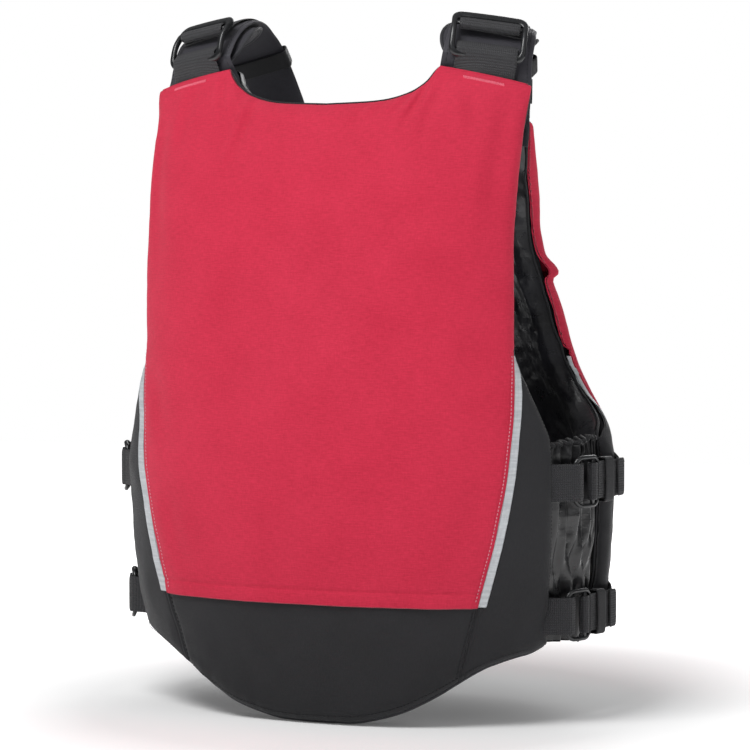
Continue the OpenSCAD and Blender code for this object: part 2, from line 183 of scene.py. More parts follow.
def FX(x, z):
    return np.degrees(np.arcsin((x / FA(z)) ** 1.25))


def hsh(a, b, seed):
    n = (a * 374761393 + b * 668265263 + seed * 982451653) & 0xFFFFFFFF
    n = ((n ^ (n >> 13)) * 1274126177) & 0xFFFFFFFF
    return ((n ^ (n >> 16)) & 0xFFFFFFFF) / 4294967295.0


def vn(x, y, seed=0):
    xi, yi = np.floor(x).astype(np.int64), np.floor(y).astype(np.int64)
    u, v = x - xi, y - yi
    u, v = u * u * u * (u * (6 * u - 15) + 10), v * v * v * (v * (6 * v - 15) + 10)
    a, b = hsh(xi, yi, seed), hsh(xi + 1, yi, seed)
    c, d = hsh(xi, yi + 1, seed), hsh(xi + 1, yi + 1, seed)
    return ((a * (1 - u) + b * u) * (1 - v) + (c * (1 - u) + d * u) * v) * 2 - 1


def fbm(x, y, seed=0, octaves=3, gain=0.5):
    s, a = 0, 1.0
    for k in range(octaves):
        s = s + a * vn(x * 2 ** k + 17.3 * k, y * 2 ** k - 9.1 * k, seed + 31 * k)
        a *= gain
    return s


def ridge(x, y, seed=0, octaves=2):
    s, a = 0, 1.0
    for k in range(octaves):
        s = s + a * (1 - np.abs(vn(x * 2 ** k + 5.7 * k, y * 2 ** k + 3.1 * k, seed + 13 * k)) * 2.2)
        a *= 0.45
    return s


def seg(u, z, p, q):
    """(distance across, place along 0..1) of points from the segment p-q, the distance signed."""
    d = np.array([q[0] - p[0], q[1] - p[1]], float)
    L = np.hypot(*d)
    d /= L
    a = (u - p[0]) * d[0] + (z - p[1]) * d[1]
    c = -(u - p[0]) * d[1] + (z - p[1]) * d[0]
    return c, a / L, L


def folds(u, z, rows):
    """Sum of soft folds. Each row is (u0, z0, u1, z1, width, height)."""
    s = np.zeros(np.shape(u))
    for u0, z0, u1, z1, w, h in rows:
        c, t, L = seg(u, z, (u0, z0), (u1, z1))
        c = c + 0.12 * w * np.sin(t * 5 + u0)
        fade = np.clip(t + 0.12, 0, 1) ** 0.6 * np.clip(1.12 - t, 0, 1) ** 1.3 * (t > -0.12) * (t < 1.12)
        prof = np.exp(-(c / w) ** 2) - 0.55 * np.exp(-((c - 1.5 * w) / (0.9 * w)) ** 2)
        s = s + h * prof * fade
    return s


class Line:
    """Distance, in mm, from points on the flattened shell to a line of points."""

    def __init__(self, pts, step=2.0):
        p = np.array(pts, float)
        out = []
        for a, b in zip(p[:-1], p[1:]):
            n = max(1, int(np.hypot(*(b - a)) / step))
            out.append(a + (b - a) * np.linspace(0, 1, n, endpoint=False)[:, None])
        out.append(p[-1:])
        self.p = np.concatenate(out)

    def __call__(self, u, z):
        q = np.stack([np.ravel(u), np.ravel(z)], -1)
        r = np.empty(len(q))
        for k in range(0, len(q), 4000):
            b = q[k:k + 4000]
            p = self.p
            i = ((b[:, None, 0] - p[None, :, 0]) ** 2 + (b[:, None, 1] - p[None, :, 1]) ** 2).argmin(1)
            m = np.full(len(b), 1e12)
            for a, c in ((np.maximum(i - 1, 0), i), (i, np.minimum(i + 1, len(p) - 1))):
                e = p[c] - p[a]
                t = np.clip(((b - p[a]) * e).sum(1) / np.maximum((e * e).sum(1), 1e-12), 0, 1)
                m = np.minimum(m, ((b - p[a] - t[:, None] * e) ** 2).sum(1))
            r[k:k + 4000] = np.sqrt(m)
        return r.reshape(np.shape(u))


# ------------------------------------------------------------------ mesh builders
def new_obj(name, verts, faces, material, smooth=True, wv=None):
    me = bpy.data.meshes.new(name)
    me.from_pydata([tuple(v) for v in verts], [], faces)
    me.update()
    if wv is not None:
        at = me.attributes.new("wv", "FLOAT_VECTOR", "POINT")
        at.data.foreach_set("vector", np.asarray(wv, np.float32).ravel())
    o = bpy.data.objects.new(name, me)
    SCN.collection.objects.link(o)
    for m in (material if isinstance(material, (list, tuple)) else [material]):
        me.materials.append(m)
    if smooth:
        me.polygons.foreach_set("use_smooth", [True] * len(me.polygons))
    return o


def grid_faces(ni, nj, off=0, flip=False):
    """Quads of a grid of (ni+1) x (nj+1) points."""
    w = nj + 1
    i, j = np.meshgrid(np.arange(ni), np.arange(nj), indexing="ij")
    a = (i * w + j).ravel() + off
    q = np.stack([a, a + w, a + w + 1, a + 1], -1)
    return q[:, ::-1] if flip else q


def slab(name, outer, inner, material, mirror=False, wv=None, smooth=True, rim=0):
    """A closed sheet between two grids of points, in mm. rim is not used."""
    ni, nj = outer.shape[0] - 1, outer.shape[1] - 1
    w = nj + 1
    n = (ni + 1) * w
    O, I = outer.reshape(-1, 3) / 1000.0, inner.reshape(-1, 3) / 1000.0
    loop = np.concatenate([np.arange(nj) * 1, np.arange(ni) * w + nj, ni * w + nj - np.arange(nj), (ni - np.arange(ni)) * w])
    mid = (O[loop] + I[loop]) / 2
    # bulge the rim a little, so that the edge is a soft turn and not a cut
    nb = loop.copy()
    inw = np.concatenate([np.arange(nj) + w, np.arange(ni) * w + nj - 1, ni * w + nj - np.arange(nj) - w, (ni - np.arange(ni)) * w + 1])
    d = O[loop] - O[inw]
    L = np.linalg.norm(d, axis=1)
    L[L < 1e-9] = 1
    th = np.linalg.norm(O[loop] - I[loop], axis=1)
    mid = mid + d / L[:, None] * np.minimum(th * 0.45, 0.0009)[:, None]
    V = np.concatenate([O, I, mid])
    if mirror:
        V = V * np.array([-1, 1, 1])
    q = [grid_faces(ni, nj), grid_faces(ni, nj, n, True)]
    m = len(loop)
    k = np.arange(m)
    k2 = (k + 1) % m
    M = 2 * n
    q.append(np.stack([loop[k], loop[k2], M + k2, M + k], -1)[:, ::-1])
    q.append(np.stack([M + k, M + k2, n + loop[k2], n + loop[k]], -1)[:, ::-1])
    Q = np.concatenate(q)
    # make the outer side face outwards
    a, b, c = V[Q[len(Q) // 8][0]], V[Q[len(Q) // 8][1]], V[Q[len(Q) // 8][2]]
    me_n = np.cross(b - a, c - a)
    ref = O[Q[len(Q) // 8][0]] - I[Q[len(Q) // 8][0]]
    if mirror:
        ref = ref * np.array([-1, 1, 1])
    if me_n @ ref < 0:
        Q = Q[:, ::-1]
    W = None
    if wv is not None:
        wvf = wv.reshape(-1, 3)
        W = np.concatenate([wvf, wvf, wvf[loop]])
    return new_obj(name, V, Q.tolist(), material, smooth, W)


def spaced(n, c=0.75):
    """n+1 places from 0 to 1, closer together near both ends."""
    u = np.linspace(0, 1, n + 1)
    return u - c * np.sin(2 * PI * u) / (2 * PI)


def frames(P, ref):
    """Unit tangents, crosses and normals along a line of points, kept close to the reference cross direction."""
    P = np.asarray(P, float)
    T = np.gradient(P, axis=0)
    T /= np.linalg.norm(T, axis=1)[:, None]
    ref = np.broadcast_to(np.asarray(ref, float), P.shape)
    C = ref - (ref * T).sum(1)[:, None] * T
    C /= np.linalg.norm(C, axis=1)[:, None]
    N = np.cross(T, C)
    return T, C, N


def resample(P, step):
    P = np.asarray(P, float)
    d = np.concatenate([[0], np.cumsum(np.linalg.norm(np.diff(P, axis=0), axis=1))])
    n = max(2, int(round(d[-1] / step)))
    q = np.linspace(0, d[-1], n + 1)
    return np.stack([np.interp(q, d, P[:, k]) for k in range(P.shape[1])], -1), q


def smooth_path(P, n=12, closed=False):
    """Catmull-Rom through the points."""
    P = np.asarray(P, float)
    if closed:
        Q = np.concatenate([P[-1:], P, P[:2]])
    else:
        Q = np.concatenate([2 * P[:1] - P[1:2], P, 2 * P[-1:] - P[-2:-1]])
    out = []
    for k in range(1, len(Q) - 2):
        a, b, c, d = Q[k - 1], Q[k], Q[k + 1], Q[k + 2]
        t = np.linspace(0, 1, n, endpoint=False)[:, None]
        out.append(0.5 * ((2 * b) + (-a + c) * t + (2 * a - 5 * b + 4 * c - d) * t ** 2 + (-a + 3 * b - 3 * c + d) * t ** 3))
    if not closed:
        out.append(Q[-2:-1])
    return np.concatenate(out)


def tube(name, P, r, material, seg_n=10, closed=False, mirror=False, ref=(0, 0, 1), flat=1.0, N0=None):
    """A round cord along points in mm. flat squeezes it along its normals."""
    P = np.asarray(P, float)
    m = len(P)
    if closed:
        T = np.roll(P, -1, 0) - np.roll(P, 1, 0)
    else:
        T = np.gradient(P, axis=0)
    T /= np.linalg.norm(T, axis=1)[:, None]
    if N0 is None:
        R = np.broadcast_to(np.asarray(ref, float), P.shape)
    else:
        R = np.asarray(N0, float)
    C = R - (R * T).sum(1)[:, None] * T
    C /= np.linalg.norm(C, axis=1)[:, None] + 1e-12
    B = np.cross(T, C)
    a = np.linspace(0, 2 * PI, seg_n, endpoint=False)
    r = np.broadcast_to(np.asarray(r, float), (m,))
    V = P[:, None, :] + r[:, None, None] * (np.cos(a)[None, :, None] * C[:, None, :] * flat + np.sin(a)[None, :, None] * B[:, None, :])
    V = V.reshape(-1, 3) / 1000.0
    if mirror:
        V = V * np.array([-1, 1, 1])
    F = []
    K = m if closed else m - 1
    for i in range(K):
        i2 = (i + 1) % m
        for j in range(seg_n):
            j2 = (j + 1) % seg_n
            q = [i * seg_n + j, i * seg_n + j2, i2 * seg_n + j2, i2 * seg_n + j]
            F.append(q if mirror else q[::-1])
    if not closed:
        c0 = list(range(seg_n))
        c1 = list(range((m - 1) * seg_n, m * seg_n))
        F.append(c0[::-1] if mirror else c0)
        F.append(c1 if mirror else c1[::-1])
    d = np.concatenate([[0], np.cumsum(np.linalg.norm(np.diff(P, axis=0), axis=1))])
    wv = np.stack([np.tile(a * r.mean() / 1000, m), np.repeat(d / 1000, seg_n), np.zeros(m * seg_n)], -1)
    o = new_obj(name, V, F, material, True, wv)
    fix_normals(o)
    return o


def fix_normals(o):
    bm = bmesh.new()
    bm.from_mesh(o.data)
    bmesh.ops.recalc_face_normals(bm, faces=bm.faces)
    bm.to_mesh(o.data)
    bm.free()


def webbing(name, P, cross, width, thick, material, mirror=False, rib=2.2, amp=0.16, step=0.55, nw=14, edge=0.55, N=None, wob=0.0, seed=3):
    """Webbing along a centre line in mm: ribbed across, with thin rounded selvedges. The line is its middle layer."""
    P0 = np.asarray(P, float)
    ref = np.asarray(cross, float)
    if ref.ndim == 2:
        both = np.concatenate([P0, ref], 1)
        both, q = resample2(both, step)
        P, ref = both[:, :3], both[:, 3:]
    else:
        P, q = resample(P0, step)
    T, C, Nn = frames(P, ref)
    width = np.interp(np.linspace(0, 1, len(P)), np.linspace(0, 1, len(np.atleast_1d(width))), np.atleast_1d(width))
    t = np.linspace(-1, 1, nw + 1)
    t = np.sign(t) * (1 - (1 - np.abs(t)) ** 1.35)
    half = thick / 2 * np.clip((1 - np.abs(t) ** 10), 0.12, 1) ** 0.5
    ribs = amp * (np.cos(2 * PI * q / rib)) if rib else np.zeros(len(q))
    wave = wob * vn(q / 14.0, np.zeros(len(q)), seed)
    scal = 1 - (0.010 * (1 - np.cos(2 * PI * q / rib)) if rib else 0)
    base = P[:, None, :] + (t[None, :] * (width * scal)[:, None] / 2)[..., None] * C[:, None, :]
    rr = ribs[:, None] * np.clip((1 - np.abs(t)) * 8, 0, 1)[None, :] + wave[:, None]
    top = base + (half[None, :] + rr)[..., None] * Nn[:, None, :]
    bot = base - (half[None, :] - wave[:, None] + ribs[:, None] * 0.6)[..., None] * Nn[:, None, :]
    wv = np.stack([np.broadcast_to(t[None, :] * width[:, None] / 2000, (len(P), nw + 1)), np.broadcast_to(q[:, None] / 1000, (len(P), nw + 1)), np.zeros((len(P), nw + 1))], -1)
    o = slab(name, top, bot, material, mirror, wv)
    fix_normals(o)
    return o


def resample2(P, step):
    d = np.concatenate([[0], np.cumsum(np.linalg.norm(np.diff(P[:, :3], axis=0), axis=1))])
    n = max(2, int(round(d[-1] / step)))
    q = np.linspace(0, d[-1], n + 1)
    return np.stack([np.interp(q, d, P[:, k]) for k in range(P.shape[1])], -1), q


def stitches(name, P, N, pitch, length, width, material, mirror=False, height=0.35, slant=0.0):
    """A row of thread stitches along points in mm, each a small rounded bar lying on the surface with normals N."""
    P = np.asarray(P, float)
    both = np.concatenate([P, np.broadcast_to(np.asarray(N, float), P.shape)], 1)
    fine, q = resample2(both, pitch / 4)
    P, Nn = fine[:, :3], fine[:, 3:]
    T = np.gradient(P, axis=0)
    T /= np.linalg.norm(T, axis=1)[:, None]
    Nn = Nn / np.linalg.norm(Nn, axis=1)[:, None]
    idx = np.arange(2, len(P) - 2, 4)
    V, F, k = [], [], 0
    a = np.linspace(0, 2 * PI, 6, endpoint=False)
    xs = np.array([-1, -0.72, 0, 0.72, 1])
    rs = np.array([0.25, 0.85, 1, 0.85, 0.25])
    for i in idx:
        t, n = T[i], Nn[i]
        b = np.cross(n, t)
        b /= np.linalg.norm(b)
        t2 = t * math.cos(slant) + b * math.sin(slant)
        b2 = np.cross(n, t2)
        for x, r in zip(xs, rs):
            c = P[i] + t2 * x * length / 2 + n * (height * (0.5 * (1 - abs(x) ** 2) - 0.25))
            for an in a:
                V.append(c + b2 * math.cos(an) * width / 2 * r + n * math.sin(an) * height * r)
        for s in range(4):
            for j in range(6):
                j2 = (j + 1) % 6
                F.append([k + s * 6 + j, k + s * 6 + j2, k + (s + 1) * 6 + j2, k + (s + 1) * 6 + j])
        F.append([k + j for j in range(6)][::-1])
        F.append([k + 24 + j for j in range(6)])
        k += 30
    V = np.array(V) / 1000
    if mirror:
        V = V * np.array([-1, 1, 1])
    o = new_obj(name, V, F, material, True, V)
    fix_normals(o)
    return o


def rrect2(w, h, r, n=10, square=0.0):
    """Points of a rounded rectangle, anticlockwise, the same number for any size."""
    out = []
    side = 6
    r = min(r, w / 2 - 1e-3, h / 2 - 1e-3)
    for cx, cy, a0 in ((w / 2 - r, h / 2 - r, 0), (-(w / 2 - r), h / 2 - r, PI / 2), (-(w / 2 - r), -(h / 2 - r), PI), (w / 2 - r, -(h / 2 - r), 1.5 * PI)):
        for t in np.linspace(0, PI / 2, n + 1):
            out.append((cx + r * math.cos(a0 + t), cy + r * math.sin(a0 + t)))
        # points along the next straight side
        x1, y1 = out[-1]
        a1 = a0 + PI / 2
        nx = {0: (-(w / 2 - r), h / 2), 1: (-w / 2, -(h / 2 - r)), 2: (w / 2 - r, -h / 2), 3: (w / 2, h / 2 - r)}[int(round(a0 / (PI / 2)))]
        for s in np.linspace(0, 1, side + 2)[1:-1]:
            out.append((x1 + (nx[0] - x1) * s, y1 + (nx[1] - y1) * s))
    return np.array(out)


def ring_mesh(outer2, inner2, t, m=16, pw=0.55, bow=None):
    """A frame between two outlines, with a rounded section. Returns (verts, faces) in local (x, y, n)."""
    k = len(outer2)
    a = np.linspace(0, 2 * PI, m, endpoint=False)
    ca, sa = sp(np.cos(a), pw), sp(np.sin(a), pw)
    M = (outer2 + inner2) / 2
    H = (outer2 - inner2) / 2
    V = np.zeros((k, m, 3))
    V[:, :, 0] = M[:, None, 0] + H[:, None, 0] * ca[None, :]
    V[:, :, 1] = M[:, None, 1] + H[:, None, 1] * ca[None, :]
    V[:, :, 2] = t / 2 * sa[None, :]
    if bow is not None:
        V[:, :, 2] += bow(V[:, :, 0], V[:, :, 1])
    F = []
    for i in range(k):
        i2 = (i + 1) % k
        for j in range(m):
            j2 = (j + 1) % m
            F.append([i * m + j, i2 * m + j, i2 * m + j2, i * m + j2])
    return V.reshape(-1, 3), F


def bar_mesh(p, q, w, t, m=16, n=12, pw=0.7, bow=None):
    """A straight rounded bar from p to q in the local plane, w wide and t thick."""
    p, q = np.array(p, float), np.array(q, float)
    d = (q - p) / np.linalg.norm(q - p)
    e = np.array([-d[1], d[0]])
    a = np.linspace(0, 2 * PI, m, endpoint=False)
    ca, sa = sp(np.cos(a), pw), sp(np.sin(a), pw)
    V = []
    for s in np.linspace(0, 1, n + 1):
        c = p + (q - p) * s
        for j in range(m):
            x, y, z = c[0] + e[0] * ca[j] * w / 2, c[1] + e[1] * ca[j] * w / 2, t / 2 * sa[j]
            if bow is not None:
                z += float(bow(np.array(x), np.array(y)))
            V.append((x, y, z))
    F = []
    for i in range(n):
        for j in range(m):
            j2 = (j + 1) % m
            F.append([i * m + j, (i + 1) * m + j, (i + 1) * m + j2, i * m + j2])
    F.append(list(range(m)))
    F.append(list(range(n * m, (n + 1) * m))[::-1])
    return np.array(V), F


def merged(parts):
    V, F, k = [], [], 0
    for v, f in parts:
        V.append(v)
        F += [[i + k for i in q] for q in f]
        k += len(v)
    return np.concatenate(V), F


def place(V, c, x, u, n):
    M = np.stack([x, u, n], 0)
    return np.asarray(V, float) @ M + np.asarray(c, float)


def solid(name, V, F, material, mirror=False, smooth=True):
    V = np.asarray(V, float) / 1000.0
    wv = V.copy()
    if mirror:
        V = V * np.array([-1, 1, 1])
    o = new_obj(name, V, F, material, smooth, wv)
    fix_normals(o)
    return o


def unit(v):
    v = np.asarray(v, float)
    return v / np.linalg.norm(v)


# ------------------------------------------------------------------ materials
def lin(c):
    c = np.array(c, float) / 255.0
    return tuple(np.where(c <= 0.04045, c / 12.92, ((c + 0.055) / 1.055) ** 2.4)) + (1.0,)


class Mat:
    def __init__(self, name):
        self.m = bpy.data.materials.new(name)
        self.m.use_nodes = True
        self.nt = self.m.node_tree
        self.nt.nodes.clear()
        self.out = self.nt.nodes.new("ShaderNodeOutputMaterial")
        self.b = self.nt.nodes.new("ShaderNodeBsdfPrincipled")
        self.nt.links.new(self.b.outputs[0], self.out.inputs[0])
        a = self.nt.nodes.new("ShaderNodeAttribute")
        a.attribute_name = "wv"
        self.wv = a.outputs["Vector"]
        self.obj = self.nt.nodes.new("ShaderNodeTexCoord").outputs["Object"]

    def n(self, kind, **kw):
        node = self.nt.nodes.new(kind)
        for k, v in kw.items():
            setattr(node, k, v)
        return node

    def link(self, a, b):
        self.nt.links.new(a, b)

    def math(self, op, a, b=None, c=None):
        node = self.n("ShaderNodeMath", operation=op)
        for k, v in enumerate((a, b, c)):
            if v is None:
                continue
            if isinstance(v, (int, float)):
                node.inputs[k].default_value = v
            else:
                self.link(v, node.inputs[k])
        return node.outputs[0]

    def scaled(self, vec, s):
        node = self.n("ShaderNodeVectorMath", operation="MULTIPLY")
        self.link(vec, node.inputs[0])
        node.inputs[1].default_value = s
        return node.outputs[0]

    def noise(self, vec, scale, detail=2.0, rough=0.5, s=(1, 1, 1)):
        node = self.n("ShaderNodeTexNoise")
        node.inputs["Scale"].default_value = scale
        node.inputs["Detail"].default_value = detail
        node.inputs["Roughness"].default_value = rough
        self.link(self.scaled(vec, s) if s != (1, 1, 1) else vec, node.inputs["Vector"])
        return node.outputs["Fac"]

    def uv(self, vec=None):
        node = self.n("ShaderNodeSeparateXYZ")
        self.link(vec or self.wv, node.inputs[0])
        return node.outputs[0], node.outputs[1]

    def sine(self, v, period):
        return self.math("SINE", self.math("MULTIPLY", v, 2 * PI / period))

    def ramp(self, fac, stops):
        node = self.n("ShaderNodeValToRGB")
        e = node.color_ramp.elements
        while len(e) > 1:
            e.remove(e[-1])
        e[0].position, e[0].color = stops[0][0], stops[0][1]
        for p, c in stops[1:]:
            x = e.new(p)
            x.color = c
        self.link(fac, node.inputs[0])
        return node.outputs[0]

    def mix(self, fac, a, b):
        node = self.n("ShaderNodeMix", data_type="RGBA")
        if isinstance(fac, (int, float)):
            node.inputs[0].default_value = fac
        else:
            self.link(fac, node.inputs[0])
        for v, k in ((a, 6), (b, 7)):
            if isinstance(v, tuple):
                node.inputs[k].default_value = v
            else:
                self.link(v, node.inputs[k])
        return node.outputs[2]

    def rng(self, fac, lo, hi, a=0.0, b=1.0):
        node = self.n("ShaderNodeMapRange")
        self.link(fac, node.inputs[0])
        for k, v in zip((1, 2, 3, 4), (a, b, lo, hi)):
            node.inputs[k].default_value = v
        return node.outputs[0]

    def bump(self, h, strength, dist, normal=None):
        node = self.n("ShaderNodeBump")
        node.inputs["Strength"].default_value = strength
        node.inputs["Distance"].default_value = dist
        self.link(h, node.inputs["Height"])
        if normal is not None:
            self.link(normal, node.inputs["Normal"])
        return node.outputs[0]

    def put(self, **kw):
        names = {"color": "Base Color", "rough": "Roughness", "spec": "Specular IOR Level", "sheen": "Sheen Weight", "sheen_r": "Sheen Roughness", "sheen_t": "Sheen Tint", "metal": "Metallic", "coat": "Coat Weight", "coat_r": "Coat Roughness", "normal": "Normal"}
        for k, v in kw.items():
            s = self.b.inputs[names[k]]
            if isinstance(v, (int, float, tuple)):
                s.default_value = v
            else:
                self.link(v, s)
        return self.m


def weave_height(M, pu, pv):
    u, v = M.uv()
    a, b = M.sine(u, pu), M.sine(v, pv)
    return M.math("MULTIPLY", a, b)


def cloth(name, dark, light, period=0.0011, slub=0.10, rough=(0.72, 0.9), sheen=0.25, tint=(1, 1, 1, 1), bump=0.35, fade=0.0, spec=0.25, wear=None):
    """Plain-woven cloth: threads, slubs that run across, soft mottling."""
    M = Mat(name)
    th = weave_height(M, period, period)
    slubs = M.noise(M.wv, 1.0, 3.0, 0.6, (150, 900, 1))
    slubs2 = M.noise(M.wv, 1.0, 2.0, 0.5, (900, 220, 1))
    mott = M.noise(M.wv, 22.0, 4.0, 0.55)
    f = M.math("ADD", M.math("MULTIPLY", slubs, 0.55), M.math("MULTIPLY", slubs2, 0.25))
    f = M.math("ADD", f, M.math("MULTIPLY", mott, 0.25))
    f = M.math("ADD", f, M.math("MULTIPLY", th, 0.05))
    col = M.mix(M.rng(f, 0, 1, 0.35, 0.72), dark, light)
    if fade:
        # a little paler and dustier in broad patches, as used cloth is
        patch = M.noise(M.wv, 5.0, 3.0, 0.5)
        col = M.mix(M.rng(patch, 0, fade, 0.45, 0.8), col, wear or (0.5, 0.5, 0.5, 1))
    r = M.rng(slubs, rough[0], rough[1], 0.3, 0.7)
    nb = M.bump(th, bump, 0.00018)
    nb = M.bump(slubs, 0.28, 0.00035, nb)
    nb = M.bump(mott, 0.25, 0.0012, nb)
    return M.put(color=col, rough=r, sheen=sheen, sheen_r=0.45, sheen_t=tint, spec=spec, normal=nb)


def ripstop(name, dark, light):
    """Thin shiny lining cloth, with a grid of thicker threads and fine crinkles."""
    M = Mat(name)
    u, v = M.uv()
    gu = M.math("POWER", M.math("ABSOLUTE", M.sine(u, 0.0104)), 14.0)
    gv = M.math("POWER", M.math("ABSOLUTE", M.sine(v, 0.0104)), 14.0)
    g = M.math("MAXIMUM", gu, gv)
    crk = M.noise(M.wv, 90.0, 4.0, 0.62)
    big = M.noise(M.wv, 26.0, 3.0, 0.55)
    col = M.mix(M.rng(big, 0, 1, 0.3, 0.7), dark, light)
    col = M.mix(M.math("MULTIPLY", g, 0.35), col, light)
    nb = M.bump(g, 0.25, 0.00012)
    nb = M.bump(crk, 0.35, 0.0012, nb)
    nb = M.bump(big, 0.35, 0.004, nb)
    return M.put(color=col, rough=M.rng(crk, 0.24, 0.40, 0.3, 0.7), spec=0.6, sheen=0.1, sheen_r=0.4, normal=nb)


def web_mat(name, dark, light, rib=0.0022, along=0.0016, rough=(0.5, 0.72), bump=0.5, spec=0.38):
    """Webbing: ribs across, a herringbone of threads within them, fuzz at the edges."""
    M = Mat(name)
    u, v = M.uv()
    ribs = M.sine(v, rib)
    tw = M.sine(M.math("ADD", u, M.math("MULTIPLY", M.math("ABSOLUTE", M.sine(v, rib * 2)), 0.0008)), along)
    fz = M.noise(M.wv, 700.0, 2.0, 0.6)
    h = M.math("ADD", M.math("MULTIPLY", ribs, 0.5), M.math("MULTIPLY", tw, 0.5))
    f = M.math("ADD", M.math("MULTIPLY", h, 0.3), fz)
    col = M.mix(M.rng(f, 0, 1, 0.2, 0.85), dark, light)
    nb = M.bump(h, bump, 0.00035)
    nb = M.bump(fz, 0.35, 0.0003, nb)
    return M.put(color=col, rough=M.rng(fz, rough[0], rough[1], 0.3, 0.7), spec=spec, sheen=0.12, sheen_r=0.5, normal=nb)


def plastic(name, base, rough=(0.2, 0.34), grain=0.12):
    """Moulded plastic with a fine grain, faint flow marks and scuffed high spots."""
    M = Mat(name)
    g = M.noise(M.obj, 2400.0, 2.0, 0.5)
    w = M.noise(M.obj, 120.0, 4.0, 0.6)
    sc = M.noise(M.obj, 1.0, 3.0, 0.6, (240, 240, 2600))
    col = M.mix(M.rng(w, 0, 0.5, 0.45, 0.8), base, tuple(min(1, c * 1.9 + 0.004) for c in base[:3]) + (1,))
    r = M.math("ADD", M.rng(w, rough[0], rough[1], 0.3, 0.7), M.math("MULTIPLY", sc, 0.06))
    nb = M.bump(g, grain, 0.00012)
    nb = M.bump(w, 0.06, 0.0008, nb)
    return M.put(color=col, rough=r, spec=0.55, normal=nb)


def reflective(name):
    """Silver-grey reflective tape: glass beads on cloth, a little creased and rubbed."""
    M = Mat(name)
    beads = M.noise(M.obj, 3200.0, 2.0, 0.5)
    crease = M.noise(M.wv, 1.0, 3.0, 0.6, (60, 420, 1))
    worn = M.noise(M.wv, 160.0, 4.0, 0.6)
    col = M.mix(M.rng(crease, 0, 1, 0.35, 0.65), lin((168, 172, 176)), lin((190, 194, 197)))
    col = M.mix(M.rng(worn, 0, 0.3, 0.55, 0.8), col, lin((128, 132, 136)))
    nb = M.bump(beads, 0.15, 0.0001)
    nb = M.bump(crease, 0.2, 0.0004, nb)
    return M.put(color=col, rough=M.rng(worn, 0.34, 0.55, 0.3, 0.7), spec=0.5, metal=0.0, normal=nb)


def foam_mat(name):
    """Closed-cell foam: small cells and a skin."""
    M = Mat(name)
    v = M.n("ShaderNodeTexVoronoi")
    v.inputs["Scale"].default_value = 900.0
    M.link(M.obj, v.inputs["Vector"])
    d = v.outputs["Distance"]
    mott = M.noise(M.obj, 60.0, 3.0, 0.5)
    col = M.mix(M.rng(mott, 0, 1, 0.3, 0.7), lin((50, 50, 53)), lin((64, 64, 67)))
    return M.put(color=col, rough=M.rng(d, 0.75, 0.95, 0.0, 0.6), spec=0.3, normal=M.bump(d, 0.3, 0.0004))


def thread(name, base, light):
    M = Mat(name)
    n1 = M.noise(M.obj, 1800.0, 2.0, 0.6)
    col = M.mix(M.rng(n1, 0, 1, 0.3, 0.7), base, light)
    return M.put(color=col, rough=M.rng(n1, 0.5, 0.75, 0.3, 0.7), spec=0.35, normal=M.bump(n1, 0.4, 0.0002))


RED = cloth("red_weave", lin((180, 28, 56)), lin((208, 48, 76)), fade=0.08, sheen=0.14, tint=(1.0, 0.62, 0.68, 1), wear=lin((216, 80, 104)))
BLACK = cloth("black_weave", lin((26, 26, 28)), lin((40, 40, 43)), sheen=0.10, rough=(0.62, 0.82), spec=0.3, fade=0.05, wear=lin((70, 71, 74)))
STRAP = cloth("strap_cloth_dark", lin((41, 40, 46)), lin((57, 56, 63)), period=0.0008, sheen=0.16, rough=(0.55, 0.7), spec=0.35, bump=0.2)
ELAST = cloth("elastic_weave", lin((20, 20, 22)), lin((32, 32, 35)), period=0.0009, sheen=0.08, rough=(0.5, 0.72), spec=0.35)
BIND = cloth("binding_weave", lin((38, 38, 42)), lin((54, 54, 58)), period=0.0007, sheen=0.12, rough=(0.55, 0.75), spec=0.3)
BIND2 = cloth("binding_dark", lin((22, 22, 25)), lin((34, 34, 38)), period=0.0007, sheen=0.1, rough=(0.55, 0.75), spec=0.3)
LINING = ripstop("lining_ripstop", lin((14, 14, 17)), lin((32, 32, 37)))
LINING2 = ripstop("gusset_ripstop", lin((12, 12, 14)), lin((24, 24, 27)))
WEB = web_mat("webbing_ribbed", lin((26, 26, 28)), lin((58, 58, 61)))
WEB2 = web_mat("webbing_coarse", lin((12, 12, 14)), lin((46, 46, 50)), rib=0.0017, along=0.0020, bump=0.7)
PLASTIC = plastic("acetal_black", lin((22, 23, 25)))
PLASTIC2 = plastic("zip_moulded", lin((26, 27, 29)), (0.3, 0.45))
TAPE = reflective("reflective_grey")
FOAM = foam_mat("foam_cells")
THREAD_RED = thread("thread_red", lin((120, 14, 36)), lin((160, 24, 50)))
THREAD_PALE = thread("thread_pale", lin((176, 112, 128)), lin((214, 160, 172)))
THREAD_PINK = thread("thread_bar", lin((214, 84, 108)), lin((238, 124, 142)))
THREAD_BLK = thread("thread_black", lin((12, 12, 13)), lin((30, 30, 32)))
ZIPTAPE = web_mat("zip_tape_weave", lin((20, 20, 22)), lin((36, 37, 39)), rib=0.0009, along=0.0012, bump=0.35)

# ------------------------------------------------------------------ back pad: shape of its surfaces
DROP, ROLL = 7.8, 12.0
T_BACK, T_FRONT = 29.5, 25.5


def half_line(fs, zs, side="B"):
    return np.stack([U(side, fs), zs], -1)


